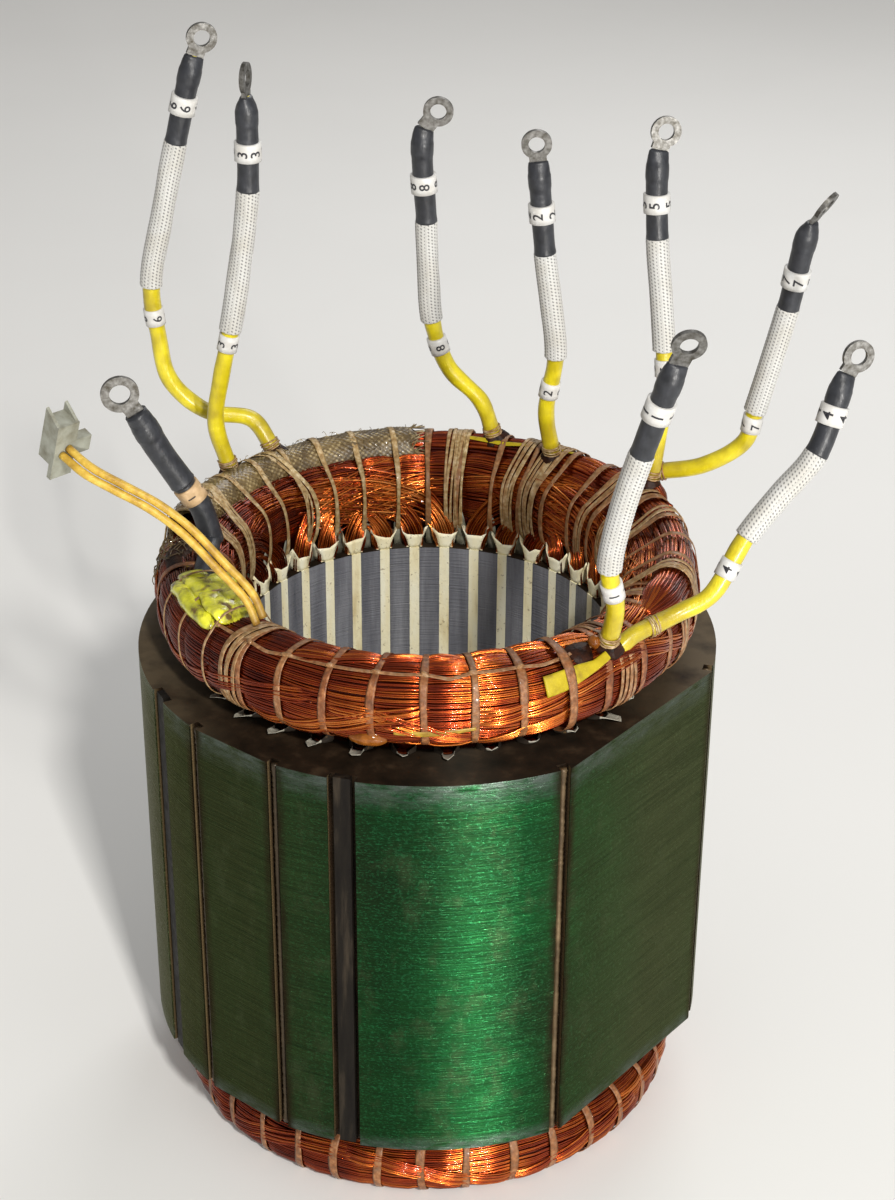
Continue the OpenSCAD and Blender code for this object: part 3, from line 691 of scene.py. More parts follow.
# Weld beads: a line of overlapping puddles down each groove, with a lump at both ends.
bead_bearings = np.concatenate([groove_bearings, groove_bearings + 180])
bead_place, bead_corners, puddle_pitch = 146.9, 8, 3.4
bead_z = np.arange(core_low + 0.4, core_high - 0.2, 1.2)
rng = np.random.default_rng(4)
puddle = np.abs(((bead_z + rng.uniform(0, 3, (len(bead_bearings), 1))) / puddle_pitch) % 1 - 0.5)
bead_r = 1.45 + 0.45 * puddle + 0.12 * rng.normal(size=puddle.shape)
bead_r = np.minimum(bead_r + 0.5 * np.exp(-((core_high - 3 - bead_z) / 3) ** 2)
                    + 0.4 * np.exp(-((bead_z - core_low - 3) / 3) ** 2), 2.4)
# The weld metal is darker on the left: painted shade.
weld_metal = finish("weld_metal", blotched((11, 5, (1, 1, 3)), [
    (0.3, (0.03, 0.02, 0.01)), (0.5, (0.12, 0.08, 0.04)), (0.72, (0.28, 0.2, 0.11))],
    lambda tree: between(places(tree)[0], 0.02, -0.03) * 0.75, (0.02, 0.014, 0.008)),
    (2, 0.4, 0.2), 0.5)
piece("weld_seams", sweep(
    around(bead_place, np.radians(bead_bearings)[:, None], bead_z),
    circle(bead_r[..., None], bead_corners), at_bearing(bead_bearings)[:, None]),
    weld_metal, "weld_beads")

# --- Slots: cream paper strips close the mouths in the bore. The liners' cuffs stand out of both
# ends of every slot, torn and folded outwards round the coil.
slot_bearings = (np.arange(slot_count) + 0.5) * 10


def old_paper(tree):
    """Cream paper, brown with varnish in streaks and specks. It is dark towards the slot's back,
    which is painted shade under the winding, and grey where it lies on the core's end."""
    r = places(tree)[3]
    paper = ramp(noise(tree, 9, 5, (1, 1, 5)), [
        (0.25, (0.62, 0.5, 0.25)), (0.45, (0.9, 0.83, 0.56)), (0.7, (0.94, 0.92, 0.74))])
    specks = between(noise(tree, 2.2, 3), 0.62, 0.72) * 0.6
    for share, over in ((between(r, 0.108, 0.116), (0.02, 0.014, 0.009)),
                        (between(r, 0.1232, 0.1238), (0.42, 0.4, 0.33)),
                        (specks, (0.16, 0.09, 0.03))):
        paper = mix(share, paper, over)
    return paper


cream_paper = finish("cream_paper", old_paper, 0.55, grain=(4, 4), depth=0.4)
cad_finish("slot_wedges", cream_paper)
cad_finish("slot_coils", finish("coil_sides", blotched((2, 4, (1, 1, 30)), [
    (0.3, (0.1, 0.014, 0.006)), (0.7, (0.34, 0.07, 0.02))]), 0.35, 0.6))

# The plan of a cuff, from the middle of its front round one side to the middle of its back: half
# width and distance from the axis where it leaves the slot, the same at its rim, rim height.
cuff_plan = np.array([
    (0.0, 96.0, 0.0, 95.8, 7.2), (2.0, 96.0, 4.2, 95.9, 7.8), (2.7, 96.3, 6.8, 96.8, 10.5),
    (3.4, 97.4, 7.7, 98.2, 13.0), (4.6, 98.6, 7.2, 100.0, 10.0), (5.2, 104, 6.3, 104, 8.0),
    (5.7, 112, 6.4, 112, 7.0), (6.1, 119, 6.0, 119, 4.5), (3.6, 122, 2.9, 123, 2.2),
    (2.4, 122.6, 2.7, 131.0, 3.2), (0.0, 122.8, 0.0, 134.0, 2.6)])
cuff_middle, cuff_wall, cuff_rows = (0, 109.0), 0.4, 5


def cuffs(face, up, seed):
    """Closed paper bands that leave the slots at height face and widen towards their rims. A
    band's wall is worked out once outside and once a wall's thickness inside."""
    rng = np.random.default_rng(seed)
    plan = np.concatenate([cuff_plan, cuff_plan[-2:0:-1] * (-1, 1, -1, 1, 1)])
    count = len(plan)
    rise = np.linspace(0, 1, cuff_rows)[None, :, None]
    foot, rim, high = plan[None, None, :, :2], plan[None, None, :, 2:4], plan[None, None, :, 4]
    torn = rng.normal(size=(slot_count, 1, count)) * 0.13
    pushed = rng.normal(size=(slot_count, 1, count, 1)) * 0.5 * rise[..., None]
    long = np.where(plan[:, 1] > 122.5, rng.uniform(0.1, 1.05, (slot_count, 1)), 1)
    place = (foot + (rim - foot) * long[:, None, :, None] * rise[..., None] ** 1.3
             + pushed * (1, 0.6))
    walls = []
    for inset in (0, cuff_wall):
        inwards = cuff_middle - place
        inner = place + inset * inwards / np.linalg.norm(inwards, axis=-1, keepdims=True)
        walls.append(around(np.maximum(inner[..., 1], bore_r + 0.1),
                            np.radians(slot_bearings)[:, None, None],
                            face + up * (high * (1 + torn)) * rise, inner[..., 0]))
    faces = bar_faces(slot_count, 2 * cuff_rows, count, closed=True)
    return (np.concatenate([walls[0], walls[1][:, ::-1]], 1).reshape(-1, 3),
            faces if up < 0 else [faces[0][:, ::-1]], 0.0)


piece("slot_cuffs", join([cuffs(core_high, 1, 5), cuffs(core_low, -1, 6)]), cream_paper,
      "slot_liners")

# Papers between the coil legs: pointed grey-green strips that stand on the tooth ends.
tab_t, tab_steps = 0.35, 6
rng = np.random.default_rng(7)
tooth_bearings, rise = np.arange(slot_count) * 10, np.linspace(0, 1, tab_steps)
half = (2.6 + 0.3 * rng.normal(size=(slot_count, 1))) * np.clip((1 - rise) * 3.2, 0.12, 1)
z = core_high + 0.2 + rise * (20 + 1.5 * rng.normal(size=(slot_count, 1)))
r = 100.7 + 0.35 * np.sin(2.5 * rise) + 0.1 * rng.normal(size=(slot_count, 1))
tabs = around(r[..., None] + (0, 0, tab_t, tab_t), np.radians(tooth_bearings)[:, None, None],
              z[..., None], half[..., None] * (-1, 1, 1, -1))
grey_paper = finish("grey_paper", blotched((6, 4), [
    (0.3, (0.1, 0.09, 0.06)), (0.5, (0.2, 0.2, 0.15)), (0.7, (0.3, 0.3, 0.24))]), 0.45)
piece("leg_papers", (tabs.reshape(-1, 3), bar_faces(slot_count, tab_steps, 4), 0.0), grey_paper,
      "phase_tabs")

# --- End windings: round enamelled copper wires, bent over in bundles from slot to slot. They lie
# as hoops along the ring, cross in slanting groups, dip under every band of lacing and wander.
wire_d, floor_gap, band_pitch, band_pull, band_width = 1.1, 0.05, 10, 1.1, 1.7
turn_steps, section_steps = 1441, 721


def blunt(value, power):
    """A sine or cosine to a power, with its sign kept."""
    return np.sign(value) * np.abs(value) ** power


def outline_lookup(r, z, count):
    """A closed outline as a lookup by millimetres round it: radius, height and the outward
    direction there."""
    way = travel(np.stack([r, z], -1))
    moved = np.concatenate([[True], np.diff(way) > 1e-6])
    even = np.linspace(0, way[-1], count)
    r, z = np.interp(even, way[moved], r[moved]), np.interp(even, way[moved], z[moved])
    slope = np.stack([np.gradient(z), -np.gradient(r)])
    return (even, r, z, *(slope / np.linalg.norm(slope, axis=0)))


def winding_section(middle, half_width, height, half_height, power=2.6):
    """The section of a winding: a rounded box, |x|^p + |z|^p = 1, from its outer side up."""
    turn = np.linspace(0, 2 * np.pi, turn_steps)
    return outline_lookup(middle + half_width * blunt(np.cos(turn), 2 / power),
                          height + half_height * blunt(np.sin(turn), 2 / power), section_steps)


def on_winding(section, way, bearing, depth):
    """Points at a way round a section, a bearing in radians and a depth below its surface, and
    the outward direction there. Nothing goes through the floor."""
    way = np.mod(way, section[0][-1])
    r, z, out_r, out_z = (np.interp(way, section[0], values) for values in section[1:])
    z = np.maximum(z - depth * out_z, wire_d / 2 + floor_gap)
    return around(r - depth * out_r, bearing, z), around(out_r, bearing, out_z)


def wander(rng, count, bearing, size, waves, share):
    """Smooth random shifts of count neighbouring wires along a bearing, closed over a turn. A
    share of each shift is common to the wires near one another."""
    total = np.zeros((count, len(bearing)))
    place = np.linspace(0, 1, count)[:, None]
    for wave in waves:
        turns = np.array([np.cos(wave * bearing), np.sin(wave * bearing)])
        drift = np.cos(rng.normal() * 3 * np.pi * place + wave * bearing[None] + rng.uniform(0, 6))
        total += share * (0.5 * (rng.normal(size=2) @ turns)[None] + drift)
        total += (1 - share) * rng.normal(size=(count, 2)) @ turns
    return size * total / math.sqrt(len(waves))


def band_dip(bearing, pull=band_pull, width=band_width):
    """How far wires are pulled in at each band of lacing: a bell of a width in degrees."""
    off_band = (np.degrees(bearing) + band_pitch / 2) % band_pitch - band_pitch / 2
    return pull * np.exp(-(off_band / width) ** 2)


def copper_enamel(tree):
    """Copper under amber enamel. The tone of a wire goes from charred to fresh, and every wire is
    darker towards the left, which is painted shade.
    """
    painted_left_shade = between(places(tree)[0], -0.02, -0.09) * -0.22
    return ramp(layer_of(tree, "tone") + (noise(tree, 25) - 0.5) + painted_left_shade, [
        (0.0, (0.07, 0.005, 0.001)), (0.4, (0.28, 0.034, 0.004)), (0.75, (0.58, 0.15, 0.018)),
        (1.0, (0.8, 0.3, 0.07))])


copper = finish("enamelled_copper", copper_enamel, 0.25, 0.9, Coat_Weight=0.35, Coat_Roughness=0.05)


def copper_piece(name, shape, node):
    """A piece of enamelled wires, whose shape's values are their tones."""
    piece(name, shape, copper, node, "tone")


def hoops(section, start, end, steps, seed):
    """Wires that go all the way round a winding, side by side from a start to an end of its
    section, and how fresh each is."""
    rng = np.random.default_rng(seed)
    bearing, corners = round_angles(steps), 4
    count = int((end - start) / wire_d)
    way = np.linspace(start, end, count)[:, None]
    way = way + wander(rng, count, bearing, 1.0, (2, 3, 5, 9), 0.8)
    depth = 0.7 + np.abs(wander(rng, count, bearing, 0.4, (4, 7, 13), 0.3)) + band_dip(bearing)
    paths, outward = on_winding(section, way, bearing, depth)
    return sweep(paths, circle(wire_d / 2, corners), outward,
                 np.repeat(rng.uniform(0.28, 0.62, count), steps * corners), closed=True)


def crossings(section, groups, seed):
    """Groups of wires that lie over the hoops at a slant and dive under them at both ends. A
    group is its first bearing, its turn, its way round the section at both ends, its wires."""
    rng = np.random.default_rng(seed)
    parts, steps, corners = [], 36, 5
    t = np.linspace(0, 1, steps)
    for first, turn, way_from, way_to, wires in groups:
        bearing = np.radians(first + turn * t)
        way = (way_from + (way_to - way_from) * (t - 0.12 * np.sin(2 * np.pi * t))
               + (np.arange(wires) - wires / 2)[:, None] * wire_d * 0.97
               + rng.normal() * 3 * np.sin(np.pi * t)
               + wander(rng, wires, bearing, 0.55, (5, 11), 0.6))
        sunk = 2.8 * (1 - np.clip(np.sin(np.pi * t) * 2.2, 0, 1)) ** 1.5
        depth = -0.15 + sunk + 0.4 * rng.uniform(-1, 1, (wires, 1)) + band_dip(bearing)
        paths, outward = on_winding(section, way, bearing, depth)
        parts.append(sweep(paths, circle(wire_d / 2, corners), outward,
                           np.repeat(rng.uniform(0.35, 0.8, wires), steps * corners)))
    return join(parts)


def bed(section):
    """The body of a winding under its wires, in the darkest copper tone as painted shade between
    them.
    """
    steps, corners = 120, 40
    ways = np.linspace(0, section[0][-1], corners + 1)[:-1]
    points, _ = on_winding(section, ways, round_angles(steps)[:, None], 1.9)
    return points.reshape(-1, 3), [grid_faces(steps, corners, loop_rows=True)], -0.4


def legs(section, face, up, steps, rows, seed):
    """Wires that climb out of the slots and fan out over the inside of the ring, three slots one
    way and the next three the other. A wire goes up as 1 - (1 - t)^1.7 and round as t^2.4. Those on
    the side it leans to turn first and stay low, the others climb over them. A fan starts in
    front, passes behind the ones it meets and ends in front of them, sunk into the ring. Under
    the wires of each slot is a plain core, and behind them all a plain wall, both in the darkest
    copper tones as painted shade."""
    rng = np.random.default_rng(seed)
    family = ((slot_bearings + 5) // 10 % 6).astype(int)
    lean = np.where(family < 3, 1, -1)[:, None, None]
    order = np.where(family < 3, 2 - family % 3, family % 3)[:, None, None]
    across, row = np.meshgrid(np.linspace(-4.5, 4.5, 9), np.arange(rows), indexing="ij")
    across = (across + 0.5 * (row % 2)).ravel()[None, :, None]
    row = row.ravel()[None, :, None]
    t = np.linspace(0, 1, steps)[None, None]
    shape = (slot_count, across.shape[1])
    behind = 0.5 - lean * across / 10
    loose = rng.normal(size=shape)[..., None]
    climb = 18 + 3 * order + 21 * behind + 1.6 * row + 1.1 * loose
    height = -2 + (2 + climb) * (1 - (1 - t) ** 1.7)
    inner = section[1] < section[1].mean()
    wall_high, wall_r = up * (section[2][inner] - face), section[1][inner]
    rising = np.argsort(wall_high)
    ring_r = np.interp(np.maximum(height, 22), wall_high[rising], wall_r[rising])
    turn_by = lean * (24 + 8 * behind + 3 * order + 2 * rng.normal(size=shape)[..., None])
    spread = 1 + 0.45 * np.sin(np.pi * np.minimum(2.4 * t, 1)) ** 2
    bearing = (np.radians(slot_bearings)[:, None, None] + across * spread / 98.5 * (1 - t)
               + np.radians(turn_by) * t ** 2.4)
    first_r = 98.3 + 1.05 * row
    lying = ring_r - 1.6 + 0.7 * row + 0.8 * (lean < 0) + 0.4 * loose
    r = (first_r + (lying - first_r) * t - 1.6 * np.exp(-((t - 0.2) / 0.13) ** 2)
         + 1.6 * np.exp(-((t - 0.5) / 0.12) ** 2) + 4.0 * np.clip((t - 0.8) / 0.2, 0, 1) ** 1.6)
    paths = around(np.maximum(r, bore_r + 0.9), bearing, face + up * height).reshape(-1, steps, 3)
    fresh = rng.uniform(0.25, 0.6, (slot_count, 1)) + rng.uniform(0.0, 0.4, shape)
    wires = sweep(paths, circle(wire_d / 2, 4), -paths * (1, 1, 0),
                  np.repeat(fresh.ravel(), steps * 4))
    t = np.linspace(0, 1, 8)[None]
    lean, order = lean[..., 0], order[..., 0]
    cores = around(110.2 + 1.5 * t, np.radians(slot_bearings[:, None] + lean * 11 * t ** 2),
                   face + up * (-2 + (20 + 3 * order) * (1 - (1 - t) ** 2)))
    turn = round_angles(10)
    body = np.stack([10.3 * blunt(np.cos(turn), 0.5), 4.6 * blunt(np.sin(turn), 0.5)], -1)
    wall = around(np.array((107, 107, 117, 117)), np.radians(np.arange(120) * 3)[:, None],
                  face + up * np.array((0.2, 15, 15, 0.2)))
    return join([wires, sweep(cores, body, -cores * (1, 1, 0), -0.4),
                 (wall.reshape(-1, 3), [grid_faces(120, 4, loop_rows=True)], -0.7)])


upper = winding_section(120.5, 18.5, 295.5, 20.5)
lower = winding_section(118.5, 18.0, 18.0, 19.0)
upper_groups = [
    (-72, 50, -14, 6, 8), (-40, 42, -16, 4, 9), (-22, 36, 2, -14, 8), (-6, 40, -20, -6, 9),
    (8, 46, -2, 12, 9), (34, 44, 14, -8, 8), (66, 50, -10, 12, 9), (104, 44, 10, -12, 8),
    (140, 50, -14, 8, 9), (182, 46, 12, -6, 9), (222, 50, -12, 10, 8), (262, 40, 8, -14, 9),
    (-34, 44, 26, 40, 8), (4, 44, 44, 28, 8), (44, 50, 26, 42, 8), (140, 60, 52, 60, 9),
    (190, 56, 60, 50, 9), (100, 56, 58, 50, 8)]
lower_groups = [
    (-60, 46, -8, 8, 9), (-20, 46, 8, -10, 9), (14, 46, -12, 4, 9), (50, 50, 6, -8, 8),
    (96, 50, -8, 8, 8), (140, 50, 8, -8, 8), (186, 50, -8, 8, 8), (232, 50, 8, -8, 8),
    (272, 40, -10, 4, 8)]
copper_piece("upper_winding_hoops", hoops(upper, -33, 82, 180, 11), "end_winding_top")
copper_piece("upper_winding_crossings", join([crossings(upper, upper_groups, 31), bed(upper)]),
             "end_winding_top")
copper_piece("upper_coil_legs", legs(upper, core_high, 1, 22, 3, 51), "coil_legs_top")
copper_piece("lower_winding_hoops", hoops(lower, -36, 74, 100, 12), "end_winding_bottom")
copper_piece("lower_winding_crossings", join([crossings(lower, lower_groups, 32), bed(lower)]),
             "end_winding_bottom")
copper_piece("lower_coil_legs", legs(lower, core_low, -1, 14, 1, 52), "coil_legs_bottom")

# --- Connections: thicker stranded joints laid along the top of the upper winding, from the
# right round the back to the left, with a second layer where leads 5 and 7 rise.
bundle = winding_section(126, 11, 309, 14, 2.2)
second_layer = winding_section(133, 7, 318, 8, 2.2)


def strands(section, first, turn, start, end, thickness, seed):
    """Wires along part of a ring, side by side from start to end of its section. They wander,
    and sink where the part begins and ends."""
    rng = np.random.default_rng(seed)
    steps, corners = max(12, int(turn / 1.6)), 6
    share = np.linspace(0, 1, steps)
    bearing = np.radians(first + turn * share)
    count = max(2, int((end - start) / thickness))
    way = np.linspace(start, end, count)[:, None]
    way = way + wander(rng, count, bearing, 0.7, (3, 5, 9, 14), 0.5)
    sunk = 7 * np.clip(1 - np.minimum(share, 1 - share) * turn / 9, 0, 1) ** 1.5
    depth = (thickness / 2 + 0.3 + np.abs(wander(rng, count, bearing, 0.4, (6, 12), 0.3)) + sunk
             + band_dip(bearing, 0.6, 1.8))
    paths, outward = on_winding(section, way, bearing, depth)
    return sweep(paths, circle(thickness / 2, corners), outward,
                 np.repeat(rng.uniform(0.05, 0.6, count), steps * corners))


copper_piece("connections", join([
    strands(bundle, 57, 208, -12, 56, 2.3, 31), strands(bundle, 57, 208, -10, 54, 2.3, 32),
    strands(second_layer, 108, 24, -9, 30, 2.0, 33)]), "connection_bundle")

# Braided sleeving: coarse glass braid, brown with varnish, over the connections at the back
# left. It ends in a fringe, wisps stand out of it, and another torn end lies further round.
braid_from, braid_turn, braid_pitch, braid_step = 184, 76, 3.9, 0.62
mm_per_degree = 2.25


def braid_sheet(section, first, turn, start, end, wider, seed):
    """A woven surface along part of a ring. Two families of flat yarns cross at a slant, and a
    yarn's height is the round of its width times whether it passes over, so the higher of the
    two families shows. The sheet is wider by some millimetres where it ends."""
    rng = np.random.default_rng(seed)
    rows, columns = int(turn * mm_per_degree / braid_step), int((end - start) / braid_step)
    along = np.linspace(0, turn * mm_per_degree, rows)[:, None]
    sway = wander(rng, columns, np.radians(along[:, 0]) * 2, 0.5, (3, 5, 8), 0.9).T
    way = start + np.linspace(0, 1, columns) * (end - start + wider * (along / along[-1]) ** 1.5)
    one = (along + 1.5 * way + sway) / braid_pitch
    two = (along - 1.5 * way + 1.3 * sway[:, ::-1]) / braid_pitch
    yarns = []
    for across, other, side in ((one, two, 0), (two, one, 1)):
        over = np.cos(np.pi * (other + np.round(across) + side))
        yarns.append(np.abs(np.cos(np.pi * across)) ** 0.6 * (0.55 + 0.45 * over))
    height = np.maximum(*yarns)
    bearing = np.radians(first + along / mm_per_degree)
    slow = wander(rng, columns, bearing[:, 0], 0.6, (7, 13, 19, 31), 0.9).T
    ends = np.minimum(along, along[-1] - along)
    edge = np.minimum(way - way[:, :1], way[:, -1:] - way)
    wall = (0.8 + 0.8 * height + slow * 0.6 - 1.4 * np.exp(-(ends / 1.2) ** 2)
            - 1.4 * np.exp(-(edge / 0.9) ** 2))
    bearing = bearing + np.radians(0.8) * np.sin(way / 2.1) * np.exp(-ends / 6)
    points, _ = on_winding(section, way, bearing, -wall)
    return (points.reshape(-1, 3), [grid_faces(rows, columns, loop_columns=False)[:, ::-1]],
            height.ravel())


def hairs(section, way, bearing, lift, thickness, corners, height):
    """Loose yarns along ways and bearings in degrees, lifted off a winding."""
    paths, outward = on_winding(section, way, np.radians(bearing), -lift)
    return sweep(paths, circle(thickness / 2, corners), outward, height)


def braid_yarn(tree):
    """Brown varnished yarn, with pale specks on the tops of the yarns, and nearly black painted
    shade where the yarns lie low between others.
    """
    height = layer_of(tree, "height")
    top = between(height, 0.55, 0.9) * between(noise(tree, 3.5, 4), 0.45, 0.64)
    brown_and_painted_shade = mix(between(height, 0.5, 0.15), ramp(noise(tree, 13, 4), [
        (0.3, (0.045, 0.027, 0.009)), (0.55, (0.12, 0.078, 0.027)), (0.75, (0.21, 0.15, 0.06))]),
        (0.012, 0.007, 0.003))
    return mix(top, brown_and_painted_shade, (0.42, 0.33, 0.17))


parts = [braid_sheet(bundle, braid_from, braid_turn, -9, 48, 20, 41)]
rng = np.random.default_rng(42)
t, fringe, wisps, torn = np.linspace(0, 1, 6), (60, 1), (260, 1), (90, 1)
parts.append(hairs(bundle, rng.uniform(-4, 44, fringe) + rng.normal(size=fringe) * 3 * t,
                   braid_from + 1.5 - rng.uniform(1.5, 5.5, fringe) * t,
                   1.1 + rng.uniform(0, 2.2, fringe) * t ** 1.5, 0.56, 4, 0.8))
parts.append(hairs(bundle, rng.uniform(-2, 46, wisps) + rng.normal(size=wisps) * 3 * t,
                   braid_from + rng.uniform(0, braid_turn, wisps)
                   + rng.normal(size=wisps) * 1.6 * t,
                   1.2 + rng.uniform(0.8, 3.2, wisps) * np.sin(2.2 * t), 0.34, 3, 0.9))
parts.append(hairs(upper, rng.uniform(4, 34, torn) + rng.normal(size=torn) * 4 * t,
                   rng.uniform(262, 276, torn) + rng.normal(size=torn) * 3 * t,
                   0.4 + rng.uniform(0.2, 1.8, torn) * np.sin(2.6 * t), 0.5, 4, 0.5))
piece("braided_cover", join(parts), finish("braid_yarn", braid_yarn, 0.42, Coat_Weight=0.25),
      "braided_sleeve", "height")

# Joint sleeves: soft yellow-green sleeves over the soldered joints at the left, packed side by
# side, flattened and stuck down with dark resin under clear tape.
joint_lacquer = finish("joint_lacquer", blotched((9, 3), [
    (0.3, (0.36, 0.36, 0.012)), (0.5, (0.6, 0.6, 0.02)), (0.7, (0.75, 0.72, 0.06))],
    lambda tree: between(noise(tree, 7, 5), 0.5, 0.68), (0.1, 0.06, 0.012)),
    0.25, grain=(5, 4), depth=0.7, Coat_Weight=0.6, Coat_Roughness=0.12)
upwards, joint_top = np.array((0, 0, 1.0)), 321.5


def joint_sleeve(r, z, half_width, half_height, first, turn, slant):
    """A lumpy flattened tube along part of a ring, sunk and closed at both ends."""
    share, corner = np.linspace(0, 1, 34)[:, None], round_angles(16)
    high = z + 0.5 * np.sin(9 * share + r) - 5 * np.clip(1 - 6 * share, 0, 1)
    path = around(r + slant * (share - 0.5) + np.sin(5 * share + r),
                  np.radians(first + turn * share), high - 5 * np.clip(6 * share - 5, 0, 1))[:, 0]
    lumps = 1 + 0.05 * np.sin(17 * share + 3 * corner) + 0.04 * np.cos(29 * share + r + corner)
    closing = np.sqrt(np.clip(1 - np.abs(2 * share - 1) ** 9, 0.01, 1))
    return sweep(path, np.stack([half_height * blunt(np.cos(corner), 0.6) * lumps * closing,
                                 half_width * np.sin(corner) * lumps * closing], -1), upwards)


# Each is its distance from the axis, height, half width, half height, bearing, turn and slant.
points, faces, _ = join([joint_sleeve(*sizes) for sizes in (
    (111.5, 316.6, 7.0, 2.9, 286, 25, 3), (122, 318.2, 7.2, 2.7, 284, 27, -3),
    (130, 314.6, 5.0, 3.8, 286, 23, -2), (115, 319.6, 5.4, 1.8, 290, 18, -6),
    (125, 319.4, 4.6, 1.8, 298, 13, 6), (120, 312, 13, 4.5, 285, 27, 0))])
points[:, 2] = np.minimum(points[:, 2], joint_top)
piece("joint_sleeves", (points, faces, 0.0), joint_lacquer, "joint_sleeve")

# Flat sleeve: an empty yellow sleeve pressed flat on the outer shoulder at the front right, with
# its cut end to the left. Narrow strips of the same kind lie low on the front and at the back.
yellow_sleeve = finish("yellow_sleeving", blotched((7, 5), [
    (0.25, (0.18, 0.12, 0.004)), (0.45, (0.34, 0.26, 0.006)), (0.7, (0.42, 0.33, 0.01))]),
    0.45, grain=(3, 4), depth=0.3, Specular_IOR_Level=0.3)
olive_sleeve = finish("olive_sleeving", blotched((5, 4), [
    (0.3, (0.2, 0.11, 0.012)), (0.6, (0.4, 0.27, 0.03))]), 0.35)


def pressed_sleeve(section, bearings, ways, half_widths, lift, thick):
    """A flattened tube along a path on a winding: thicker at both folds than between them."""
    share, corner = np.linspace(0, 1, 40), round_angles(14)
    bearing, way, half = (np.interp(share, np.linspace(0, 1, len(bearings)), values) for values in (
        np.radians(bearings), ways, half_widths))
    path, outward = on_winding(section, way, bearing, -lift)
    fat = thick * (0.7 + 0.3 * np.abs(np.sin(corner)))
    fat = fat * (1 + 0.25 * np.sin(13 * share[:, None] + corner))
    outline = np.stack([fat * np.cos(corner), half[:, None] * np.sin(corner)], -1)
    return sweep(path, outline, outward)


piece("flat_yellow_sleeve", pressed_sleeve(
    upper, (24, 28, 32, 36, 41), (10.5, 11.5, 13, 14, 17), (5.4, 5.2, 4.2, 2.6, 2.2), 0.7, 0.9),
    yellow_sleeve, "flat_sleeve")
piece("olive_strip", pressed_sleeve(
    upper, (-6, 0, 5, 10), (-8, -8.5, -7.5, -6), (1.2, 1.6, 1.5, 0.8), -0.1, 0.5),
    olive_sleeve)
piece("back_yellow_strips", join([
    pressed_sleeve(bundle, (172, 166, 160, 154), (24, 25, 26, 24), (1.0, 1.4, 1.4, 1.0), 0.2, 0.5),
    pressed_sleeve(bundle, (152, 146, 140), (20, 22, 20), (0.9, 1.3, 0.9), 0.2, 0.5)]),
    yellow_sleeve)

# --- Lacing: polyester tape, tacky with varnish, wound over and under the end windings and pulled
# tight every ten degrees, with a running tape knotted to each turn along the upper outer edge.
# Where leads leave the winding it is lashed many times over.
lacing_tape = finish("lacing_tape", lambda tree: mix(
    layer_of(tree, "pale"), ramp(noise(tree, 3, 5), [
        (0.3, (0.07, 0.014, 0.004)), (0.5, (0.165, 0.046, 0.014)), (0.72, (0.34, 0.14, 0.055))]),
    ramp(noise(tree, 2.5, 5), [
        (0.3, (0.18, 0.11, 0.04)), (0.5, (0.38, 0.27, 0.12)), (0.72, (0.62, 0.52, 0.33))])),
    0.38, grain=(1.2, 4), depth=0.3, Specular_IOR_Level=0.3, Coat_Weight=0.08, Coat_Roughness=0.1)
upper_tape, lower_tape, covered_tape, joint_tape, lashing_tape = 4.0, 4.2, 3.8, 1.6, 2.2
tape_steps, wrap_steps, inner_depth = 46, 361, -0.3
tape_outline = np.array([(0.16, -1.0), (0.3, -0.55), (0.2, 0.0), (0.3, 0.55), (0.16, 1.0),
                         (-0.22, 0.8), (-0.22, -0.8)])


def wrap_line(*sections):
    """The shortest way round some sections together: for every direction the farthest of their
    points."""
    r, z = (np.concatenate([section[k] for section in sections]) for k in (1, 2))
    turn = np.linspace(0, 2 * np.pi, section_steps)
    far = np.argmax(np.cos(turn)[:, None] * r + np.sin(turn)[:, None] * z, 1)
    return outline_lookup(r[far], z[far], wrap_steps)


def tape_turns(turns, seed):
    """Closed turns of tape. A turn is (line round the winding, bearing, width, slant in degrees,
    depth outside, depth inside, pale). The slant carries it aside between its outer and inner
    side. It narrows where it is twisted on the inner side."""
    rng = np.random.default_rng(seed)
    share, parts = np.arange(tape_steps) / tape_steps, []
    inside = 0.5 - 0.5 * np.cos(2 * np.pi * share)
    for section, bearing, width, slant, outer, inner, pale in turns:
        aside = slant * (inside - 0.3) + 0.25 * np.sin(4 * np.pi * share + rng.uniform(0, 6))
        depth = outer + (inner - outer) * np.clip(inside * 2 - 0.9, 0, 1)
        way = share * section[0][-1]
        path, outward = on_winding(section, way, np.radians(bearing + aside), depth)
        twist = 0.12 * np.sin(6 * np.pi * share + rng.uniform(0, 6))
        half = width / 2 * (1 - 0.4 * inside ** 2 + twist)
        outline = tape_outline * np.stack([np.ones(tape_steps), half], -1)[:, None]
        parts.append(sweep(path, outline, outward, pale, closed=True))
    return parts


over_legs = winding_section(108, 10, 292, 19, 2.3)
plain_wrap = wrap_line(upper, over_legs)
bundle_wrap = wrap_line(upper, bundle, over_legs)
layered_wrap = wrap_line(upper, bundle, second_layer, over_legs)
joint_wrap = wrap_line(upper, winding_section(118.5, 13.4, 312, 9, 2.4), over_legs)
turns = []
rng = np.random.default_rng(61)
for bearing in range(0, 360, band_pitch):
    width, slant = upper_tape + 0.3 * rng.normal(), 1.0 + 0.8 * rng.normal()
    section, outer, pale = plain_wrap, 0.35 - 2.0 * (bearing == 30), 0.05 + 0.15 * rng.random()
    if 180 < bearing < 262:
        section, width, outer, pale = bundle_wrap, covered_tape, -2.1, 0.8
    elif 75 < bearing < 262:
        section, outer, pale = layered_wrap if bearing == 120 else bundle_wrap, -0.5, 0.25
    elif 284 < bearing < 313:
        section, width, outer, pale = joint_wrap, joint_tape, -0.3, 0.5
    turns.append((section, bearing, width, slant, outer, inner_depth, pale))
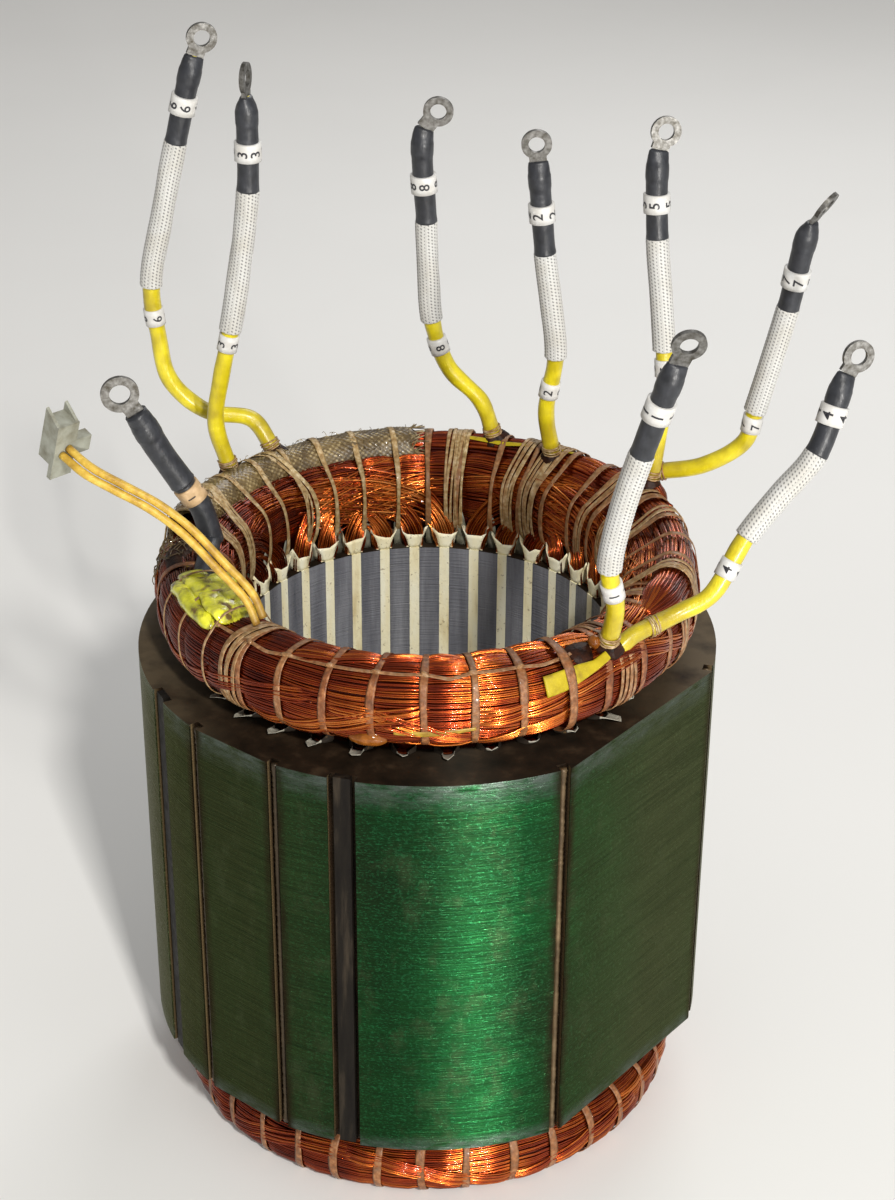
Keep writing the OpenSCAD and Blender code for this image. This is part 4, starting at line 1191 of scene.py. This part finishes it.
# Lashings: the line round, bearing, turns of tape, degrees apart, slant, depth outside and pale.
for section, bearing, count, apart, slant, outer, pale in (
        (bundle_wrap, 172.5, 7, 0.85, 0.5, -0.8, 0.75), (bundle_wrap, 153, 5, 0.85, 3, -0.8, 0.6),
        (bundle_wrap, 145, 7, 0.85, 4, -0.9, 0.6), (layered_wrap, 124, 4, 1.1, 3, -0.6, 0.5),
        (bundle_wrap, 113, 3, 1.2, 2, -0.8, 0.5), (bundle_wrap, 104, 3, 1.2, -2, -0.6, 0.6),
        (bundle_wrap, 76, 4, 1.1, -5, -0.7, 0.5), (plain_wrap, 66, 4, 1.0, -4, -0.9, 0.4),
        (plain_wrap, 44.5, 5, 0.9, -2, -0.2, 0.3), (plain_wrap, 318, 5, 1.0, 4, -0.1, 0.5),
        (bundle_wrap, 258, 4, 1.2, 4, -2.0, 0.6),
        (bundle_wrap, 247, 4, 1.0, 8, -2.3, 0.85), (bundle_wrap, 226, 3, 1.2, -9, -2.2, 0.85)):
    for k in range(count):
        turns.append((section, bearing + (k - count / 2) * apart, lashing_tape,
                      slant + 0.4 * rng.normal(), outer + 0.15 * rng.normal(), inner_depth,
                      pale + 0.1 * rng.normal()))
parts = tape_turns(turns, 62)

# The running tape lies along one way round the section, and strays and sinks between its knots,
# which are lumps along the bands. In a row of shifts, the third is how far the tape strays, and
# the last three lean the knot.
running_way, running_half, knot_length, knot_d = 22.5, 0.95, 4.2, 2.5
share, knot_share = np.linspace(0, 1, 12), np.linspace(-1, 1, 9)
middle = np.interp(share, (0, 0.5, 1), (0, 1, 0))
knot_bearings = np.arange(-60, 41, band_pitch)
shifts = rng.normal(size=(len(knot_bearings) - 1, 6))
for bearing, shift in zip(knot_bearings, shifts):
    path, outward = on_winding(upper, running_way + shift[2] * middle,
                               np.radians(bearing + band_pitch * share), 0.55 * middle - 0.2)
    parts.append(sweep(path, tape_outline * (1, running_half), outward, 0.25))
    knot, out = on_winding(upper, running_way, np.radians(bearing + band_pitch), -0.5)
    side = np.cross(out, upwards)
    path = knot + knot_share[:, None] * knot_length / 2 * (
        side / np.linalg.norm(side) + 0.3 * shift[3:])
    parts.append(sweep(path, circle(knot_d / 2 * np.sqrt(1.02 - knot_share ** 2), 8), out, 0.35))
piece("upper_lacing", join(parts), lacing_tape, "lacing_top", "pale")
low_wrap = wrap_line(lower)
points, faces, pale = join(tape_turns([
    (low_wrap, bearing, lower_tape + 0.3 * rng.normal(), 1.5 * rng.normal(), 0.35, -0.9, 0.15)
    for bearing in range(0, 360, band_pitch)], 63))
points[:, 2] = np.maximum(points[:, 2], floor_gap)
piece("lower_lacing", (points, faces, pale), lacing_tape, "lacing_bottom", "pale")

# Resin: an amber blob hardened on the upper winding's lower outer edge at the front, and dark
# resin that soaks the roots of leads 1 and 4 and of the black lead.
amber = finish("amber_resin", blotched((6, 4), [
    (0.3, (0.09, 0.024, 0.003)), (0.6, (0.22, 0.07, 0.009)), (0.8, (0.34, 0.13, 0.02))]),
    0.12, grain=(4, 3), depth=0.5, Specular_IOR_Level=0.4)
dark_resin = finish("dark_resin", blotched((4, 5), [
    (0.3, (0.002, 0.001, 0.001)), (0.7, (0.035, 0.01, 0.004))]),
    0.45, grain=(3, 4), depth=0.6, Specular_IOR_Level=0.15)
outer_r, blob_corners, blob_rings = 139, 24, 9


def blob(section, bearing, way, reach, rise, seed):
    """A flattened lump on a winding: a dome of half sizes reach round it and across, and rise
    above it, with its edge and its top waved."""
    rng = np.random.default_rng(seed)
    turn, share = round_angles(blob_corners), np.linspace(0, 1, blob_rings)[:, None]
    wave = 1 + 0.12 * np.sin(2 * turn + rng.uniform(0, 6))
    wave = wave + 0.1 * np.sin(3 * turn + rng.uniform(0, 6))
    out = np.sin(share * np.pi / 2) * wave
    lift = rise * np.cos(share * np.pi / 2) - 1.6
    points, _ = on_winding(section, way + reach[1] * out * np.sin(turn),
                           np.radians(bearing) + reach[0] * out * np.cos(turn) / outer_r, -lift)
    rim = np.arange(blob_corners)[None] + (blob_rings - 1) * blob_corners
    return points.reshape(-1, 3), [grid_faces(blob_rings, blob_corners)[:, ::-1], rim], 0.0


piece("amber_blob", blob(upper, -11.5, -15.5, (9, 4.6), 4.4, 71), amber)
piece("dark_resin_spots", join([
    blob(upper, 34.5, 23, (9, 8), 2.7, 72), blob(upper, -87, 24, (17, 9), 2.0, 73)]),
    dark_resin)

# Roots: lead 4 and the black lead run on a little way into the winding before they go under. A
# brown peg of hardened tube stands beside the root of lead 1.
root_step, root_corners, lead_root_r, black_root_r = 1.2, 16, 4.3, 5.1
line, _ = smooth_line([(109, -83.5, 316), (104, -87, 315.2), (98, -91, 313.4), (92, -95, 309)],
                      root_step)
piece("lead_4_root", tube(line, lead_root_r, root_corners), yellow_varnish,
      "lead_4", "way")
line, _ = smooth_line([(-112.5, -1.5, 328), (-110.8, -2.6, 320.5), (-110.6, -12, 317.6),
                       (-111.5, -25, 317), (-112, -36, 313), (-112, -42, 308)], root_step)
piece("black_lead_root", tube(line, black_root_r, root_corners), shrink_black,
      "black_lead")
peg, out = on_winding(upper, 24.0, np.radians(39.0), 0.0)
peg_r = 3.0 * np.array([1, 1, 1, 1.02, 1, 1.02, 1, 1.03, 0.9, 0.35])
line = peg + np.linspace(-3, 6, len(peg_r))[:, None] * (out * 0.7 + at_bearing(-50.0) * 0.6)
piece("resin_peg", sweep(line, circle(peg_r, 14), out), amber)

# Root ties: every lead is bound with a few turns of tape where it comes out, and all but lead 4
# stand in a low mound of hardened resin, whose rings are (radius, height).
mound_rings = np.array([(7.4, -4.0), (7.0, -2.8), (6.2, -1.4), (5.5, 0.0), (4.9, 0.9), (4.3, 1.3)])
tie_turns, tie_steps, tie_d, tie_pitch, mound_corners = 3.5, 70, 0.9, 0.22, 20
ties, mounds = [], []
rng = np.random.default_rng(81)


def ring_round(start, up, r, angle, high):
    """Points round a line from start that goes up, at a radius, an angle and a height."""
    side = np.cross(up, front) / np.linalg.norm(np.cross(up, front))
    aside, away, above = (value[..., None] for value in np.broadcast_arrays(
        r * np.cos(angle), r * np.sin(angle), high))
    return start + aside * side + away * np.cross(side, up) + above * up


for number, (route, *_) in leads.items():
    line, _ = smooth_line(route + winding_top, 0.8)
    start = line[0] - 1.2 * (line[1] - line[0]) / np.linalg.norm(line[1] - line[0])
    up = (line[4] - line[0]) / np.linalg.norm(line[4] - line[0])
    turn = np.linspace(0, 2 * np.pi * tie_turns, tie_steps)
    spiral = ring_round(start, up, lead_d / 2 + 0.35 + 0.15 * rng.normal(size=tie_steps), turn,
                        1.0 + turn * tie_pitch + 0.3 * np.sin(turn * 1.3 + number))
    ties.append(sweep(spiral, circle(tie_d / 2, 5), up, rng.uniform(0.2, 0.8)))
    corner, rings = round_angles(mound_corners), len(mound_rings)
    wave = 1 + 0.12 * np.sin(2 * corner + number) + 0.08 * np.sin(5 * corner + 2 * number)
    mound = ring_round(start, up, mound_rings[:, :1] * wave, corner, mound_rings[:, 1:])
    if number != 4:
        first = np.arange(mound_corners)[None]
        mounds.append((mound.reshape(-1, 3), [grid_faces(rings, mound_corners), first[:, ::-1],
                                              first + (rings - 1) * mound_corners], 0.0))
piece("root_ties", join(ties), lacing_tape, "lacing_top", "pale")
piece("root_resin", join(mounds), dark_resin)
